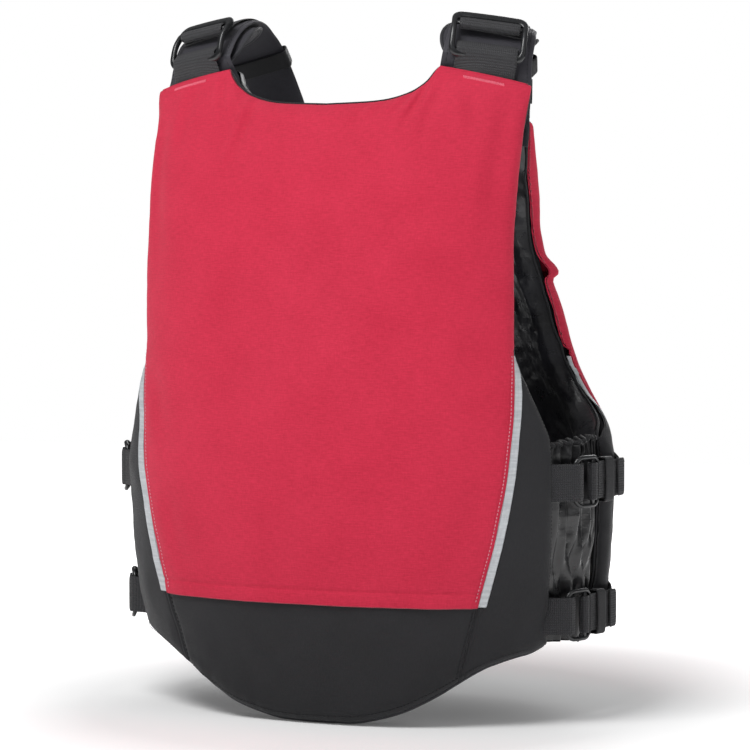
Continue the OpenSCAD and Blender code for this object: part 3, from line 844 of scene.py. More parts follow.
_fb = np.linspace(0, 69.5, 80)
_zs = np.linspace(66, 514, 160)
_ts = np.linspace(1, 0, 120)
_side_f = WE(_zs)
B_half = np.concatenate([half_line(_fb, ZB(_fb)), half_line(_side_f, _zs), half_line(_ts * RE(ZT(_ts)), ZT(_ts))])
B_line = Line(np.concatenate([B_half, (B_half * np.array([-1, 1]))[::-1]]))
_tt = np.linspace(0.433, 1, 30)
B_top_r = Line(half_line(_tt * RE(ZT(_tt)), ZT(_tt)))
_ts2 = np.linspace(0.433, 0, 60)
_bh2 = np.concatenate([half_line(_fb, ZB(_fb)), half_line(_side_f, _zs)])
_nk = half_line(_ts2 * RE(ZT(_ts2)), ZT(_ts2))
B_open = Line(np.concatenate([(_bh2[::-1] * np.array([-1, 1])), _bh2]))
B_neck = Line(np.concatenate([_nk, (_nk * np.array([-1, 1]))[::-1]]))
_z1 = np.linspace(36, 304, 120)
B_seam_r = Line(half_line(RE(_z1), _z1))


def roll(d, drop, r):
    q = 1 - np.clip(d / r, 0, 1)
    return -drop * (1 - np.sqrt(np.clip(1 - q * q, 0, 1)))


BACK_FOLDS = [
    # from the inner shoulder corners, one side creased more than the other
    (-88, 520, -73, 482, 3.4, -2.3), (-79, 513, -60, 491, 2.8, -1.3), (-99, 519, -90, 466, 5.5, -1.1), (-126, 512, -132, 470, 7.0, -0.8),
    (64, 507, 78, 444, 4.0, -2.2), (102, 526, 90, 488, 3.4, -1.6), (84, 516, 70, 500, 2.6, -1.0), (128, 514, 134, 462, 7.0, -0.8),
    # gathers at the neck
    (27, 500, 20, 481, 2.6, -1.1), (5, 499, 9, 479, 2.8, -0.8), (-18, 499, -11, 480, 2.6, -1.0), (-36, 501, -29, 483, 2.4, -1.0), (-53, 503, -43, 488, 2.4, -1.2), (46, 503, 40, 487, 2.4, -0.9),
    # long slack waves
    (-160, 500, -150, 380, 9.0, -0.9), (160, 480, 150, 360, 9.0, -0.9), (-150, 330, -122, 250, 11.0, -0.8), (152, 280, 124, 214, 11.0, -0.8), (-136, 190, -118, 112, 10.0, -0.9), (128, 180, 112, 116, 10.0, -0.8),
    (20, 430, -30, 300, 16.0, -0.6), (-60, 240, 40, 190, 14.0, -0.6), (60, 360, 96, 300, 12.0, -0.6), (-96, 420, -60, 380, 10.0, -0.6)]
WING_FOLDS = []
for _s in (1, -1):
    e = 232
    WING_FOLDS += [(_s * e, 212, _s * 196, 219, 4.5, 1.8), (_s * e, 184, _s * 192, 176, 4.5, 1.7), (_s * e, 204, _s * 204, 203, 4, 0.9), (_s * e, 104, _s * 200, 112, 4.5, 1.6), (_s * e, 76, _s * 200, 80, 4.5, 1.5),
                   (_s * 222, 150, _s * 190, 140, 7, 1.0), (_s * 214, 128, _s * 180, 132, 7, 0.8), (_s * 222, 64, _s * 196, 74, 5, 1.2), (_s * 206, 58, _s * 180, 84, 6, 0.9), (_s * 196, 262, _s * 180, 216, 7, 0.8),
                   (_s * 186, 284, _s * 182, 244, 5, 0.7), (_s * 150, 56, _s * 148, 84, 6, 0.8)]
TAIL_FOLDS = [(-120, 36, -96, 70, 7, 0.9), (118, 34, 92, 66, 7, 0.9), (-70, 14, -58, 46, 8, 0.8), (72, 14, 64, 44, 8, 0.7), (-20, 4, -14, 34, 8, 0.7), (24, 4, 34, 30, 7, 0.7), (-100, 78, 90, 84, 6, 0.7), (-60, 60, 100, 54, 9, 0.6)]


def back_outer(f, z, kind="red"):
    u = U("B", f)
    d = np.minimum(B_open(u, z), B_neck(u, z))
    dt = B_top_r(np.abs(u), z)
    ds = np.minimum(B_seam_r(u, z), B_seam_r(-u, z))
    ds = np.where(z > 306, np.hypot(ds, (z - 306) * 0.6), ds)
    o = 1.6 * (1 - np.exp(-ds / 16.0)) + roll(d, DROP - 7.8 * np.exp(-(dt / 21.0) ** 2), ROLL) + roll(dt, 1.1, 5.0)
    d = np.minimum(d, dt)
    o = o - 0.5 * np.exp(-((ds - 3.7) / 0.9) ** 2) * (z < 304)
    o = o - 1.1 * np.exp(-(ds / 2.0) ** 2) * (z < 306)
    pk = 0.35 * vn(u / 7.5, z / 7.5, 5) * np.exp(-d / 9.0)
    soft = 0.55 * fbm(u / 62, z / 70, 11, 3) + pk
    o = o + soft
    # small gathers along the seams
    o = o + 0.28 * vn(z / 6.0 + 3, u * 0 + 2.0, 21) * np.exp(-((ds - 5) / 5.0) ** 2) * (z < 306)
    if kind == "red":
        o = o + 3.0 * folds(u, z, BACK_FOLDS)
        # stitched hem line a little above the edge of the flap
        o = o + 1.3 - 0.75 * np.exp(-((z - 111.0) / 1.7) ** 2) + 0.35 * np.exp(-((z - 103) / 4.0) ** 2)
        hem = np.exp(-(z - 100) / 10.0)
        o = o + hem * (0.9 * vn(u / 26.0, u * 0 + 4.4, 8) + 0.35 * vn(u / 9.0, u * 0, 9) + 0.6)
    elif kind == "tail":
        o = o + folds(u, z, TAIL_FOLDS) + 0.8 * fbm(u / 40, z / 22, 15, 2) * np.clip((100 - z) / 30, 0, 1)
        o = o + (0.9 * vn(u / 6.5, z / 22, 31)) * np.exp(-d / 10.0)
    else:
        o = o + 1.4 * folds(u, z, WING_FOLDS) + 0.7 * fbm(u / 30, z / 34, 19, 2)
        o = o + 0.5 * vn(u / 20, z / 9.0, 33) * np.exp(-d / 10.0)
    return o


def lining_offset(side, u, z, d, T, seed, edge, amp=1.0):
    r2 = 17.0
    q = 1 - np.clip(d / r2, 0, 1)
    o = -T + (T + edge) * (1 - np.sqrt(np.clip(1 - q * q, 0, 1)))
    near = np.exp(-d / 28.0)
    c = (1.1 + 2.6 * near) * ridge(u / 30 + z / 60, z / 24 - u / 70, seed, 3) + 0.8 * fbm(u / 50, z / 50, seed + 5, 2)
    return o - amp * np.clip(c + 1.2, 0, 4.2) * np.clip(d / 7.0, 0, 1)


def wv_of(u, z):
    return np.stack([u / 1000, z / 1000, np.zeros(np.shape(u))], -1)


# ------------------------------------------------------------------ back pad: pieces
def t_columns(n):
    t = spaced(n, 0.8)
    t = t * 2 - 1
    for c in (-0.433, 0.433):
        k = np.argmin(np.abs(t - c))
        t[k] = c
    return t


def back_red():
    t = t_columns(230)
    v = spaced(240, 0.8)
    Tt, Vv = np.meshgrid(t, v, indexing="ij")
    z = 99.6 + (ZT(Tt) - 99.6) * Vv
    f = Tt * RE(z)
    u = U("B", f)
    o = back_outer(f, z, "red")
    out = S("B", f, z, o)
    inn = S("B", f, z, o - 1.5)
    return slab("back_panel_red", out, inn, RED, wv=wv_of(u, z))


def back_tail():
    s = np.linspace(-1, 1, 181)
    v = spaced(64, 0.85)
    Ss, Vv = np.meshgrid(s, v, indexing="ij")
    z0 = ZB(np.abs(Ss) * 37)
    z = z0 + (113 - z0) * Vv
    f = Ss * RE(z)
    u = U("B", f)
    o = back_outer(f, z, "tail") - 0.2
    # the top strip lies under the hanging hem
    o = o - 1.6 * np.clip((z - 96) / 10.0, 0, 1)
    return slab("back_tail_black", S("B", f, z, o), S("B", f, z, o - 1.4), BLACK, wv=wv_of(u, z))


def back_wing(mirror):
    s = spaced(84, 0.8)
    v = spaced(170, 0.75)
    Ss, Vv = np.meshgrid(s, v, indexing="ij")
    z0 = ZB(37 + (70 - 37) * Ss)
    z = z0 + (303 - z0) * Vv
    f = RE(z) + (WE(z) - RE(z)) * Ss
    f = np.maximum(f, RE(z) + 0.02)
    u = U("B", f)
    o = back_outer(-f if mirror else f, z, "wing")
    return slab("back_wing_cloth_" + ("right" if mirror else "left"), S("B", f, z, o), S("B", f, z, o - 1.5), BLACK, mirror, wv=wv_of(u, z))


def back_lining():
    s = np.linspace(-1, 1, 211)
    v = spaced(190, 0.75)
    Ss, Vv = np.meshgrid(s, v, indexing="ij")
    Ss = np.sign(Ss) * (np.abs(Ss) * 0.35 + 0.65 * (1 - (1 - np.abs(Ss)) ** 1.6))
    z0 = ZB(np.abs(Ss) * 69.5)
    z1 = ZT(np.abs(Ss))
    z = z0 + (z1 - z0) * Vv
    f = Ss * WE(z)
    u = U("B", f)
    d = B_line(u, z)
    edge = back_outer(f, z, "wing") - 2.0 - 8.0 * np.exp(-(B_top_r(np.abs(u), z) / 12.0) ** 2)
    o = lining_offset("B", u, z, d, T_BACK, 41, edge)
    return slab("back_lining_cloth", S("B", f, z, o), S("B", f, z, o - 0.9), LINING, wv=wv_of(u, z))


def tape(side, mirror, name):
    E, W = (RE, WE) if side == "B" else (RF, FE)
    v = np.linspace(0, 1, 150)
    s = np.linspace(0, 1, 9)
    z1 = 300 if side == "B" else 292
    Ss, Vv = np.meshgrid(s, v, indexing="ij")
    z = 100.4 + (z1 - 100.4) * Vv
    w = np.minimum(2.5 if mirror or side == "F" else 3.3, 0.12 + (W(z) - E(z)) * 0.8)
    f = E(z) + 0.05 + Ss * w
    u = U(side, f)
    sg = -1 if mirror else 1
    o = (back_outer(sg * f, z, "wing") if side == "B" else front_outer(f, z, "wing")) + 0.55 + 0.25 * (1 - (2 * Ss - 1) ** 8)
    o = o + 0.9 * np.exp(-((Ss) / 0.12) ** 2)
    return slab(name, S(side, f, z, o), S(side, f, z, o - 0.9), TAPE, mirror, wv=wv_of(u, z))


def edge_path(side, fs, zs, line_off):
    return S(side, fs, zs, line_off)


def foam(name, side, fz, T, mirror=False):
    f, z = fz
    u = U(side, f)
    L = B_line if side == "B" else F_line
    d = np.maximum(L(u, z) - 3.0, 0)
    top = -3.2 + roll(d, DROP - 4.5, 11)
    bot = -(T - 2.4) - roll(d, DROP - 2.5, 13)
    top = np.maximum(top, bot + 1.2)
    return slab(name, S(side, f, z, top), S(side, f, z, bot), FOAM, mirror, wv=wv_of(u, z))


# ------------------------------------------------------------------ front halves (built for +X, mirrored for -X)
EX = 6.4
_zb = np.linspace(0, 1, 60)
_sf = np.linspace(1, 0, 100)


def zfb(s):
    return 70 - 10 * s


_fbot = FX(EX, 70) + (86 - FX(EX, 70)) * _zb
_zs2 = np.linspace(60, 489, 150)
F_line = Line(np.concatenate([half_line(_fbot, zfb(_zb), "F"), half_line(FE(_zs2), _zs2, "F"), half_line(FX(EX, ZF(_sf)) + (FE(ZF(_sf)) - FX(EX, ZF(_sf))) * _sf, ZF(_sf), "F")]))
_st = np.linspace(0.49, 1, 60)
_zs4 = np.linspace(60, 489, 150)
F_side = Line(half_line(FE(_zs4), _zs4, "F"))
F_top = Line(half_line(FX(EX, ZF(_st)) + (FE(ZF(_st)) - FX(EX, ZF(_st))) * _st, ZF(_st), "F"))
_z3 = np.linspace(66, 296, 100)
F_seam = Line(half_line(RF(_z3), _z3, "F"))
FRONT_FOLDS = [(118, 484, 96, 430, 6, 1.3), (70, 478, 52, 430, 5, 1.3), (90, 486, 84, 440, 6, 0.9), (46, 452, 34, 410, 5, 0.9), (20, 425, 26, 380, 5, 0.8), (122, 440, 104, 404, 7, 0.8),
               (118, 362, 88, 356, 5, 1.4), (150, 312, 110, 300, 9, 0.8), (20, 128, 70, 134, 7, 0.7), (150, 260, 118, 236, 10, 0.7), (10, 240, 40, 215, 9, 0.7), (12, 330, 40, 318, 8, 0.6), (176, 180, 140, 172, 10, 0.6), (30, 170, 90, 160, 12, 0.5)]
FWING_FOLDS = [(228, 212, 196, 218, 5, 1.6), (228, 184, 196, 178, 5, 1.6), (226, 104, 190, 110, 5, 1.5), (226, 76, 190, 78, 5, 1.4), (222, 150, 190, 142, 7, 1.0), (40, 84, 90, 80, 6, 0.6), (120, 78, 160, 86, 6, 0.7)]


def front_outer(f, z, kind="red"):
    u = U("F", f)
    d = F_line(u, z)
    dc = np.abs(u - U("F", FX(EX, z)))
    ds = F_seam(u, z)
    ds = np.where(z > 296, np.hypot(ds, (z - 296) * 0.6), ds)
    turn = np.clip((z - 250) / 60.0, 0, 1) * np.clip((484 - z) / 40.0, 0, 1)
    o = 2.0 * (1 - np.exp(-np.minimum(ds, dc) / 16.0)) + roll(d, DROP, ROLL) + roll(dc, 1.8, 5.0) + turn * roll(F_side(u, z), 7.5, 13.0)
    o = o - 1.0 * np.exp(-(ds / 2.0) ** 2) * (z < 296)
    o = o - 1.1 * np.exp(-((dc - 9.0) / 1.5) ** 2) * (z < 470)
    o = o + 0.6 * fbm(u / 55, z / 60, 51, 3) + 0.35 * vn(u / 7.5, z / 7.5, 52) * np.exp(-d / 9.0)
    o = o + 0.35 * vn(z / 7.0, u * 0, 53) * np.exp(-((dc - 14) / 6.0) ** 2)
    if kind == "red":
        o = o + 1.3 * folds(u, z, FRONT_FOLDS)
        # chest seam, and the flap of cloth that stands up at its outer end
        o = o - 1.4 * np.exp(-((z - 357.0) / 1.8) ** 2) + 1.1 * np.exp(-((z - 362) / 3.5) ** 2)
        ue = U("F", FE(z))
        o = o + 9.5 * np.exp(-((u - ue + 4.0) / 9.0) ** 2) * np.exp(-np.abs(np.where(z > 364, (z - 364) / 9.5, (z - 364) / 6.5)) ** 2.6)
        hem = np.exp(-(z - 100) / 9.0)
        o = o + 1.3 - 0.7 * np.exp(-((z - 111.0) / 1.7) ** 2) + hem * (0.8 * vn(u / 26.0, u * 0 + 2.4, 8) + 0.4)
    else:
        o = o + folds(u, z, FWING_FOLDS) + 0.8 * fbm(u / 32, z / 30, 57, 2) + 0.45 * vn(u / 9, z / 9, 58) * np.exp(-d / 10.0)
        o = o - 1.6 * np.clip((z - 94) / 8.0, 0, 1) * (f < 50)
    return o


def front_red(mirror):
    s = spaced(150, 0.7)
    v = spaced(210, 0.75)
    for c in (0.49,):
        s[np.argmin(np.abs(s - c))] = c
    Ss, Vv = np.meshgrid(s, v, indexing="ij")
    z = 99.6 + (ZF(Ss) - 99.6) * Vv
    E = np.where(z > 298, FE(z), np.minimum(RF(z), FE(z)))
    f = FX(EX, z) + (E - FX(EX, z)) * Ss
    u = U("F", f)
    o = front_outer(f, z, "red")
    return slab("front_panel_red_" + ("right" if mirror else "left"), S("F", f, z, o), S("F", f, z, o - 1.5), RED, mirror, wv=wv_of(u, z))


def front_black(mirror):
    """The lower band and the side panel, one cut with the seam between them."""
    side = "right" if mirror else "left"
    s = spaced(90, 0.8)
    v = spaced(36, 0.8)
    Ss, Vv = np.meshgrid(s, v, indexing="ij")
    z0 = 70 + (64 - 70) * Ss
    z = z0 + (110 - z0) * Vv
    f = FX(EX, z) + (np.where(z < 98, 52.0, RF(z)) - FX(EX, z)) * Ss
    o = front_outer(f, z, "band")
    a = slab("front_band_black_" + side, S("F", f, z, o), S("F", f, z, o - 1.4), BLACK, mirror, wv=wv_of(U("F", f), z))
    s = spaced(66, 0.8)
    v = spaced(130, 0.75)
    Ss, Vv = np.meshgrid(s, v, indexing="ij")
    z0 = 64 - 4 * Ss
    z1 = 291 - (291 - 228) * Ss ** 1.15
    z = z0 + (z1 - z0) * Vv
    l = np.where(z < 98, 52.0, RF(z))
    f = l + np.maximum(FE(z) - l, 0.05) * Ss
    o = front_outer(f, z, "wing")
    b = slab("front_wing_black_" + side, S("F", f, z, o), S("F", f, z, o - 1.4), BLACK, mirror, wv=wv_of(U("F", f), z))
    return a, b


def front_lining(mirror):
    s = spaced(120, 0.7)
    v = spaced(190, 0.75)
    Ss, Vv = np.meshgrid(s, v, indexing="ij")
    z0 = zfb(Ss)
    z = z0 + (ZF(Ss) - z0) * Vv
    f = FX(EX, z) + (FE(z) - FX(EX, z)) * Ss
    u = U("F", f)
    d = np.minimum(F_line(u, z), np.abs(u - U("F", FX(EX, z))) + 1.5)
    edge = front_outer(f, z, "wing") - 2.0 - 5.0 * np.exp(-(F_top(u, z) / 12.0) ** 2)
    o = lining_offset("F", u, z, d, T_FRONT, 71 if mirror else 73, edge)
    return slab("front_lining_cloth_" + ("right" if mirror else "left"), S("F", f, z, o), S("F", f, z, o - 0.9), LINING, mirror, wv=wv_of(u, z))


def binding(side, name, fs, zs, mirror, r=2.1, off=-1.7, mat=None, outer=None, out=1.0):
    """Folded tape sewn over a free edge."""
    fn = outer or (back_outer if side == "B" else front_outer)
    P = S(side, fs, zs, fn(fs, zs, "wing") + off)
    P, q = resample(P, 1.6)
    P[1:-1] = np.stack([gauss(P[:, k], 2.5) for k in range(3)], -1)[1:-1]
    rr = r * (1 + 0.05 * vn(q / 9.0, np.zeros(len(q)), 61))
    return tube(name, P, rr, mat or BIND, 12, False, mirror, (0.5, 0.3, 0.2))


def rider(o, body, *nodes, slot=None, pad=None):
    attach(o, body)
    if nodes:
        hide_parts(*nodes)
    return o


# ------------------------------------------------------------------ make the back
rider(back_red(), "back", "back_cover", slot="red_cloth", pad=0.75)
rider(back_tail(), "back", "back_tail_cover", slot="black_cloth", pad=0.7)
for _m, _sd in ((False, "left"), (True, "right")):
    rider(back_wing(_m), "back", "back_wing_" + _sd, slot="black_cloth", pad=0.7)
    rider(tape("B", _m, "back_tape_grey_" + _sd), "back", "back_tape_" + _sd, slot="reflective_tape")
LIN_BACK = rider(back_lining(), "back", "back_lining", slot="lining")

_t = np.linspace(-1, 1, 120)
_v = np.linspace(0, 1, 100)
_Tt, _Vv = np.meshgrid(_t, _v, indexing="ij")
_z0 = ZB(_Tt * 36) + 8
_z = _z0 + (ZT(_Tt) - 11 - _z0) * _Vv
rider(foam("back_foam_core", "B", (_Tt * (RE(_z) - 1.0 - 2.2 * np.clip((_z - 290) / 30, 0, 1)), _z), T_BACK), "back", "back_foam", slot="foam", pad=0.9)
for _m, _sd in ((False, "left"), (True, "right")):
    _ss, _v2 = np.meshgrid(np.linspace(0, 1, 40), np.linspace(0, 1, 90), indexing="ij")
    _z0 = ZB(37 + 33 * _ss) + 5
    _z = _z0 + (292 - _z0) * _v2
    _f = RE(_z) + 0.5 + np.maximum(WE(_z) - 4.2 - RE(_z) - 0.5, 0.05) * _ss
    rider(foam("wing_foam_core_" + _sd, "B", (_f, _z), 24, _m), "back", "wing_foam_" + _sd, slot="foam", pad=0.9)

# edges
for _m, _sd in ((False, "left"), (True, "right")):
    _s = -1 if _m else 1
    _o = lambda f, z, k, s=_s: back_outer(s * f, z, "wing" if k != "tail" else "tail")
    zs = np.linspace(60, 531, 300)
    fs = np.where(zs < 515, WE(zs), WE(515))
    zz = np.linspace(66, 515, 300)
    P1 = (WE(zz), zz)
    tt = np.linspace(1, 0, 120)
    P2 = (tt * RE(ZT(tt)), ZT(tt))
    rider(binding("B", "armhole_binding_" + _sd, np.concatenate([P1[0], P2[0][1:5]]), np.concatenate([P1[1], P2[1][1:5]]), _m, 1.5, -1.9, outer=_o), "back", slot="strap_cloth")
    rider(binding("B", "neck_binding_" + _sd, P2[0][66:], P2[1][66:], _m, 1.3, -2.3, outer=lambda f, z, k, s=_s: back_outer(s * f, z, "red"), mat=BIND2), "back", slot="strap_cloth")
    rider(binding("B", "shoulder_hem_" + _sd, P2[0][3:68], P2[1][3:68], _m, 0.95, -0.85, outer=lambda f, z, k, s=_s: back_outer(s * f, z, "red"), mat=RED), "back", slot="red_cloth")
    fb = np.linspace(0, 69.5, 160)
    rider(binding("B", "hem_binding_" + _sd, fb, ZB(fb), _m, 1.9, outer=lambda f, z, k, s=_s: back_outer(s * f, z, "tail" )), "back", slot="strap_cloth")


def surf_row(side, fs, zs, fn, lift):
    o = fn(fs, zs)
    P = S(side, fs, zs, o + lift)
    N = S(side, fs, zs, o + lift + 2.0) - P
    return P, N


for _m, _sd in ((False, "left"), (True, "right")):
    s_ = -1 if _m else 1
    zz = np.linspace(104, 302, 200)
    P, N = surf_row("B", RE(zz) - (1.1 if _m else 2.5), zz, lambda f, z: back_outer(s_ * f, z, "red"), 0.0)
    rider(stitches("edge_stitches_" + _sd, P, N, 3.0, 1.9, 0.85, THREAD_PALE, _m), "back")
    zz = np.linspace(44, 98, 70)
    P, N = surf_row("B", RE(zz) - 0.9, zz, lambda f, z: back_outer(s_ * f, z, "tail"), -0.1)
    rider(stitches("tail_stitches_" + _sd, P, N, 3.4, 2.3, 0.7, THREAD_BLK, _m), "back")
    zz = np.linspace(72, 512, 400)
    P, N = surf_row("B", WE(zz) - 1.15, zz, lambda f, z: back_outer(s_ * f, z, "wing"), 0.0)
    rider(stitches("armhole_stitches_" + _sd, P, N, 3.2, 2.2, 0.6, THREAD_BLK, _m), "back")
    # bar of stitching below the shoulder edge
    tt = np.linspace(0.57, 0.82, 40)
    z1 = ZT(tt) - 4.6
    P, N = surf_row("B", tt * RE(z1), z1, lambda f, z: back_outer(s_ * f, z, "red"), 0.15)
    rider(stitches("shoulder_bar_" + _sd, P, N, 1.25, 2.8, 1.1, THREAD_PINK, _m, 0.5, 1.1), "back")
fb = np.linspace(-67, 67, 600)
P, N = surf_row("B", fb, ZB(fb) + 5.0, lambda f, z: back_outer(f, z, "tail"), 0.0)
rider(stitches("tail_hem_stitches", P, N, 3.2, 2.2, 0.6, THREAD_BLK), "back")

# ------------------------------------------------------------------ make the front halves
for _m, _sd in ((False, "left"), (True, "right")):
    fb_ = "front_" + _sd
    rider(front_red(_m), fb_, "front_cover_" + _sd, slot="red_cloth", pad=0.75)
    a, b = front_black(_m)
    rider(a, fb_, "front_band_" + _sd, slot="black_cloth", pad=0.7)
    rider(b, fb_, "front_wing_" + _sd, slot="black_cloth", pad=0.7)
    rider(tape("F", _m, "front_tape_grey_" + _sd), fb_, "front_tape_" + _sd, slot="reflective_tape")
    rider(front_lining(_m), fb_, "front_lining_" + _sd, slot="lining")
    ss, vv = np.meshgrid(np.linspace(0.06, 0.90, 60), np.linspace(0, 1, 90), indexing="ij")
    z0 = zfb(ss) + 8
    z = z0 + (ZF(ss) - 11 - z0) * vv
    f = FX(EX, z) + (FE(z) - FX(EX, z)) * ss
    rider(foam("front_foam_core_" + _sd, "F", (f, z), T_FRONT, _m), fb_, "front_foam_" + _sd, slot="foam", pad=0.9)
    zz = np.linspace(60, 489, 260)
    rider(binding("F", "front_side_binding_" + _sd, FE(zz), zz, _m, 1.2, -2.2, mat=BIND2), fb_, slot="strap_cloth")
    ss = np.linspace(1, 0, 120)
    rider(binding("F", "front_neck_binding_" + _sd, FX(EX, ZF(ss)) + (FE(ZF(ss)) - FX(EX, ZF(ss))) * ss, ZF(ss), _m, 1.9), fb_, slot="strap_cloth")
    ss = np.linspace(0, 1, 120)
    rider(binding("F", "front_hem_binding_" + _sd, FX(EX, zfb(ss)) + (FE(60) - FX(EX, 70)) * ss, zfb(ss), _m, 1.9), fb_, slot="strap_cloth")
    zz = np.linspace(76, 418, 300)
    P, N = surf_row("F", FX(EX + 9.0, zz), zz, lambda f, z: front_outer(f, z, "red" if True else "band"), 0.0)
    k = zz > 112
    rider(stitches("zip_stitches_" + _sd, P[k], N[k], 3.2, 2.2, 0.65, THREAD_RED, _m), fb_)
    zz = np.linspace(104, 296, 180)
    P, N = surf_row("F", RF(zz) - 1.1, zz, lambda f, z: front_outer(f, z, "red"), 0.0)
    rider(stitches("front_edge_stitches_" + _sd, P, N, 3.0, 1.9, 0.85, THREAD_PALE, _m), fb_)
    ff = np.linspace(FX(EX + 11, 111.0), RF(111.0) - 1.4, 200)
    P, N = surf_row("F", ff, 111 + 0 * ff, lambda f, z: front_outer(f, z, "red"), 0.0)
    rider(stitches("front_hem_stitches_" + _sd, P, N, 3.4, 2.3, 0.7, THREAD_RED, _m), fb_)
    ff = np.linspace(FX(EX + 11, 352.0), FE(352.0) - 1.5, 140)
    P, N = surf_row("F", ff, 352.5 + 0 * ff, lambda f, z: front_outer(f, z, "red"), 0.0)
    rider(stitches("chest_stitches_" + _sd, P, N, 3.4, 2.3, 0.7, THREAD_RED, _m), fb_)


# ------------------------------------------------------------------ side gussets: cloth gathered on elastic
def gusset(mirror):
    side = "right" if mirror else "left"
    ni, nj = 150, 110
    s = np.linspace(0, 1, ni + 1)
    v = 1 - (1 - np.linspace(0, 1, nj + 1)) ** 1.25
    Ss, Vv = np.meshgrid(s, v, indexing="ij")
    z = 66 + (229 - 66) * Vv
    z = z + (Vv > 0.9) * 0 + 3.0 * np.sin(Ss * PI) * Vv ** 3 - 2.0 * Vv ** 6 * (1 - Ss)
    fb = WE(z)
    pb = S("B", fb, z, -10.8)
    pf = S("F", FE(z), z, -10.8)
    base = pb + (pf - pb) * Ss[..., None]
    nrm = np.array([0.975, 0.22, 0.0])
    bow = 13.0 * np.sin(PI * Ss) * (1 - 0.25 * Vv)
    ph = Ss * 9.5 + 0.55 * vn(Vv * 3.1, Ss * 2.0, 81) + 0.5 * vn(Ss * 6, Vv * 1.3, 85)
    top = np.clip((Vv - 0.35) / 0.65, 0, 1)
    w = (1.0 + 2.5 * top ** 1.2) * np.sin(2 * PI * ph) * np.sin(PI * np.clip(Ss, 0.0, 1)) ** 0.5
    ph2 = Ss * 4.2 + 0.9 * Vv + 0.8 * vn(Vv * 1.7 + 3, Ss * 1.5, 91)
    w2 = 3.0 * (1 - 0.7 * top) * np.sin(2 * PI * ph2) * np.sin(PI * Ss) ** 0.7
    cr = 0.9 * ridge(Ss * 4 + Vv, Vv * 7, 93, 2) * np.sin(PI * Ss)
    off = bow + w + w2 + cr
    # the elastic hem at the top
    el = np.exp(-((1 - Vv) * 163 / 9.0) ** 2)
    off = off + el * 1.3 * np.sin(2 * PI * (Ss * 19 + 0.3 * vn(Ss * 5, Vv, 97))) * np.sin(PI * Ss) ** 0.4
    z2 = z + el * 1.6 * np.cos(2 * PI * (Ss * 9.5)) * np.sin(PI * Ss)
    P = base + off[..., None] * nrm
    P[..., 2] = z2
    nz = np.cross(np.gradient(P, axis=0), np.gradient(P, axis=1))
    nz /= np.linalg.norm(nz, axis=2)[..., None] + 1e-9
    if nz[ni // 2, nj // 2] @ nrm < 0:
        nz = -nz
    inn = P - nz * 0.7
    wv = np.stack([Ss * 0.11, z / 1000, 0 * z], -1)
    return slab("side_gusset_cloth_" + side, P, inn, LINING2, mirror, wv), P


for _m, _sd in ((False, "left"), (True, "right")):
    g, GP = gusset(_m)
    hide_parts("side_gusset_" + _sd)
    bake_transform(g)
    # the elastic tape that gathers its top
    E = GP[:, -1, :] + np.array([0, 0, -1.0])
    e = tube("gusset_elastic_" + _sd, E, 1.9, ELAST, 10, False, _m, (0, 0, 1))
    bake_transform(e)

# ------------------------------------------------------------------ shoulders
PATH = np.array([[129, 75, 503, 72], [129, 72, 515, 74], [128.5, 69, 527, 74], [128, 64.5, 537, 72.5], [127.5, 58.5, 547, 71], [127, 51.5, 555.5, 70], [126.3, 44.5, 561.6, 69], [125, 36, 565.9, 67], [123.4, 25.5, 568.7, 64.5],
                 [121.5, 14, 569.2, 61], [119.6, 2.5, 566.6, 57], [117.4, -8.5, 560.8, 53], [115, -18, 553, 51], [112.5, -26.5, 541, 50], [110, -34.5, 527, 50], [107.5, -42, 512, 50], [106, -46.5, 502, 50], [105, -49.5, 492, 50], [104, -52, 482, 49], [103, -54, 472, 48]])
K0 = 3


def path_frames():
    k = np.clip(np.arange(len(PATH)) - K0, 0, 13) / 13.0
    cr = np.stack([np.full(len(k), 0.93), -0.37 + 0.67 * k, np.full(len(k), -0.21)], -1)
    cr /= np.linalg.norm(cr, axis=1)[:, None]
    full = np.concatenate([PATH, cr], 1)
    f = smooth_path(full, 10)
    P, w, c = f[:, :3], f[:, 3], f[:, 4:7]
    T, C, N = frames(P, c)
    d = np.concatenate([[0], np.cumsum(np.linalg.norm(np.diff(P, axis=0), axis=1))])
    return P, w, C, N, d


SP, SW, SC, SNn, SD_ = path_frames()
K_at = lambda k: SD_[min(int(round((k + K0) * 10)), len(SD_) - 1)]


def on_path(d):
    g = lambda a: np.stack([np.interp(d, SD_, a[:, i]) for i in range(a.shape[1])], -1)
    C, N = g(SC), g(SNn)
    return g(SP), np.interp(d, SD_, SW), C / np.linalg.norm(C, axis=-1)[..., None], N / np.linalg.norm(N, axis=-1)[..., None]


def strip(name, d, width, top, bot, material, mirror=False, n=26, power=6, lift=None, seed=5, along=None):
    """A strip laid on the shoulder path: top and bottom offsets are functions of (along mm, across -1..1)."""
    P, w, C, N = on_path(d)
    w = w if width is None else np.broadcast_to(width, w.shape)
    t = np.linspace(-1, 1, n + 1)
    t = np.sign(t) * (1 - (1 - np.abs(t)) ** 1.5)
    D, T2 = np.meshgrid(d, t, indexing="ij")
    base = P[:, None, :] + (T2 * w[:, None] / 2)[..., None] * C[:, None, :]
    a, b = top(D, T2), bot(D, T2)
    m = (a + b) / 2
    prof = np.clip(1 - np.abs(T2) ** power, 0.02, 1) ** 0.5
    a, b = m + (a - m) * prof, m + (b - m) * prof
    wv = np.stack([T2 * w[:, None] / 2000, D / 1000, 0 * D], -1)
    o = slab(name, base + a[..., None] * N[:, None, :], base + b[..., None] * N[:, None, :], material, mirror, wv)
    fix_normals(o)
    return o


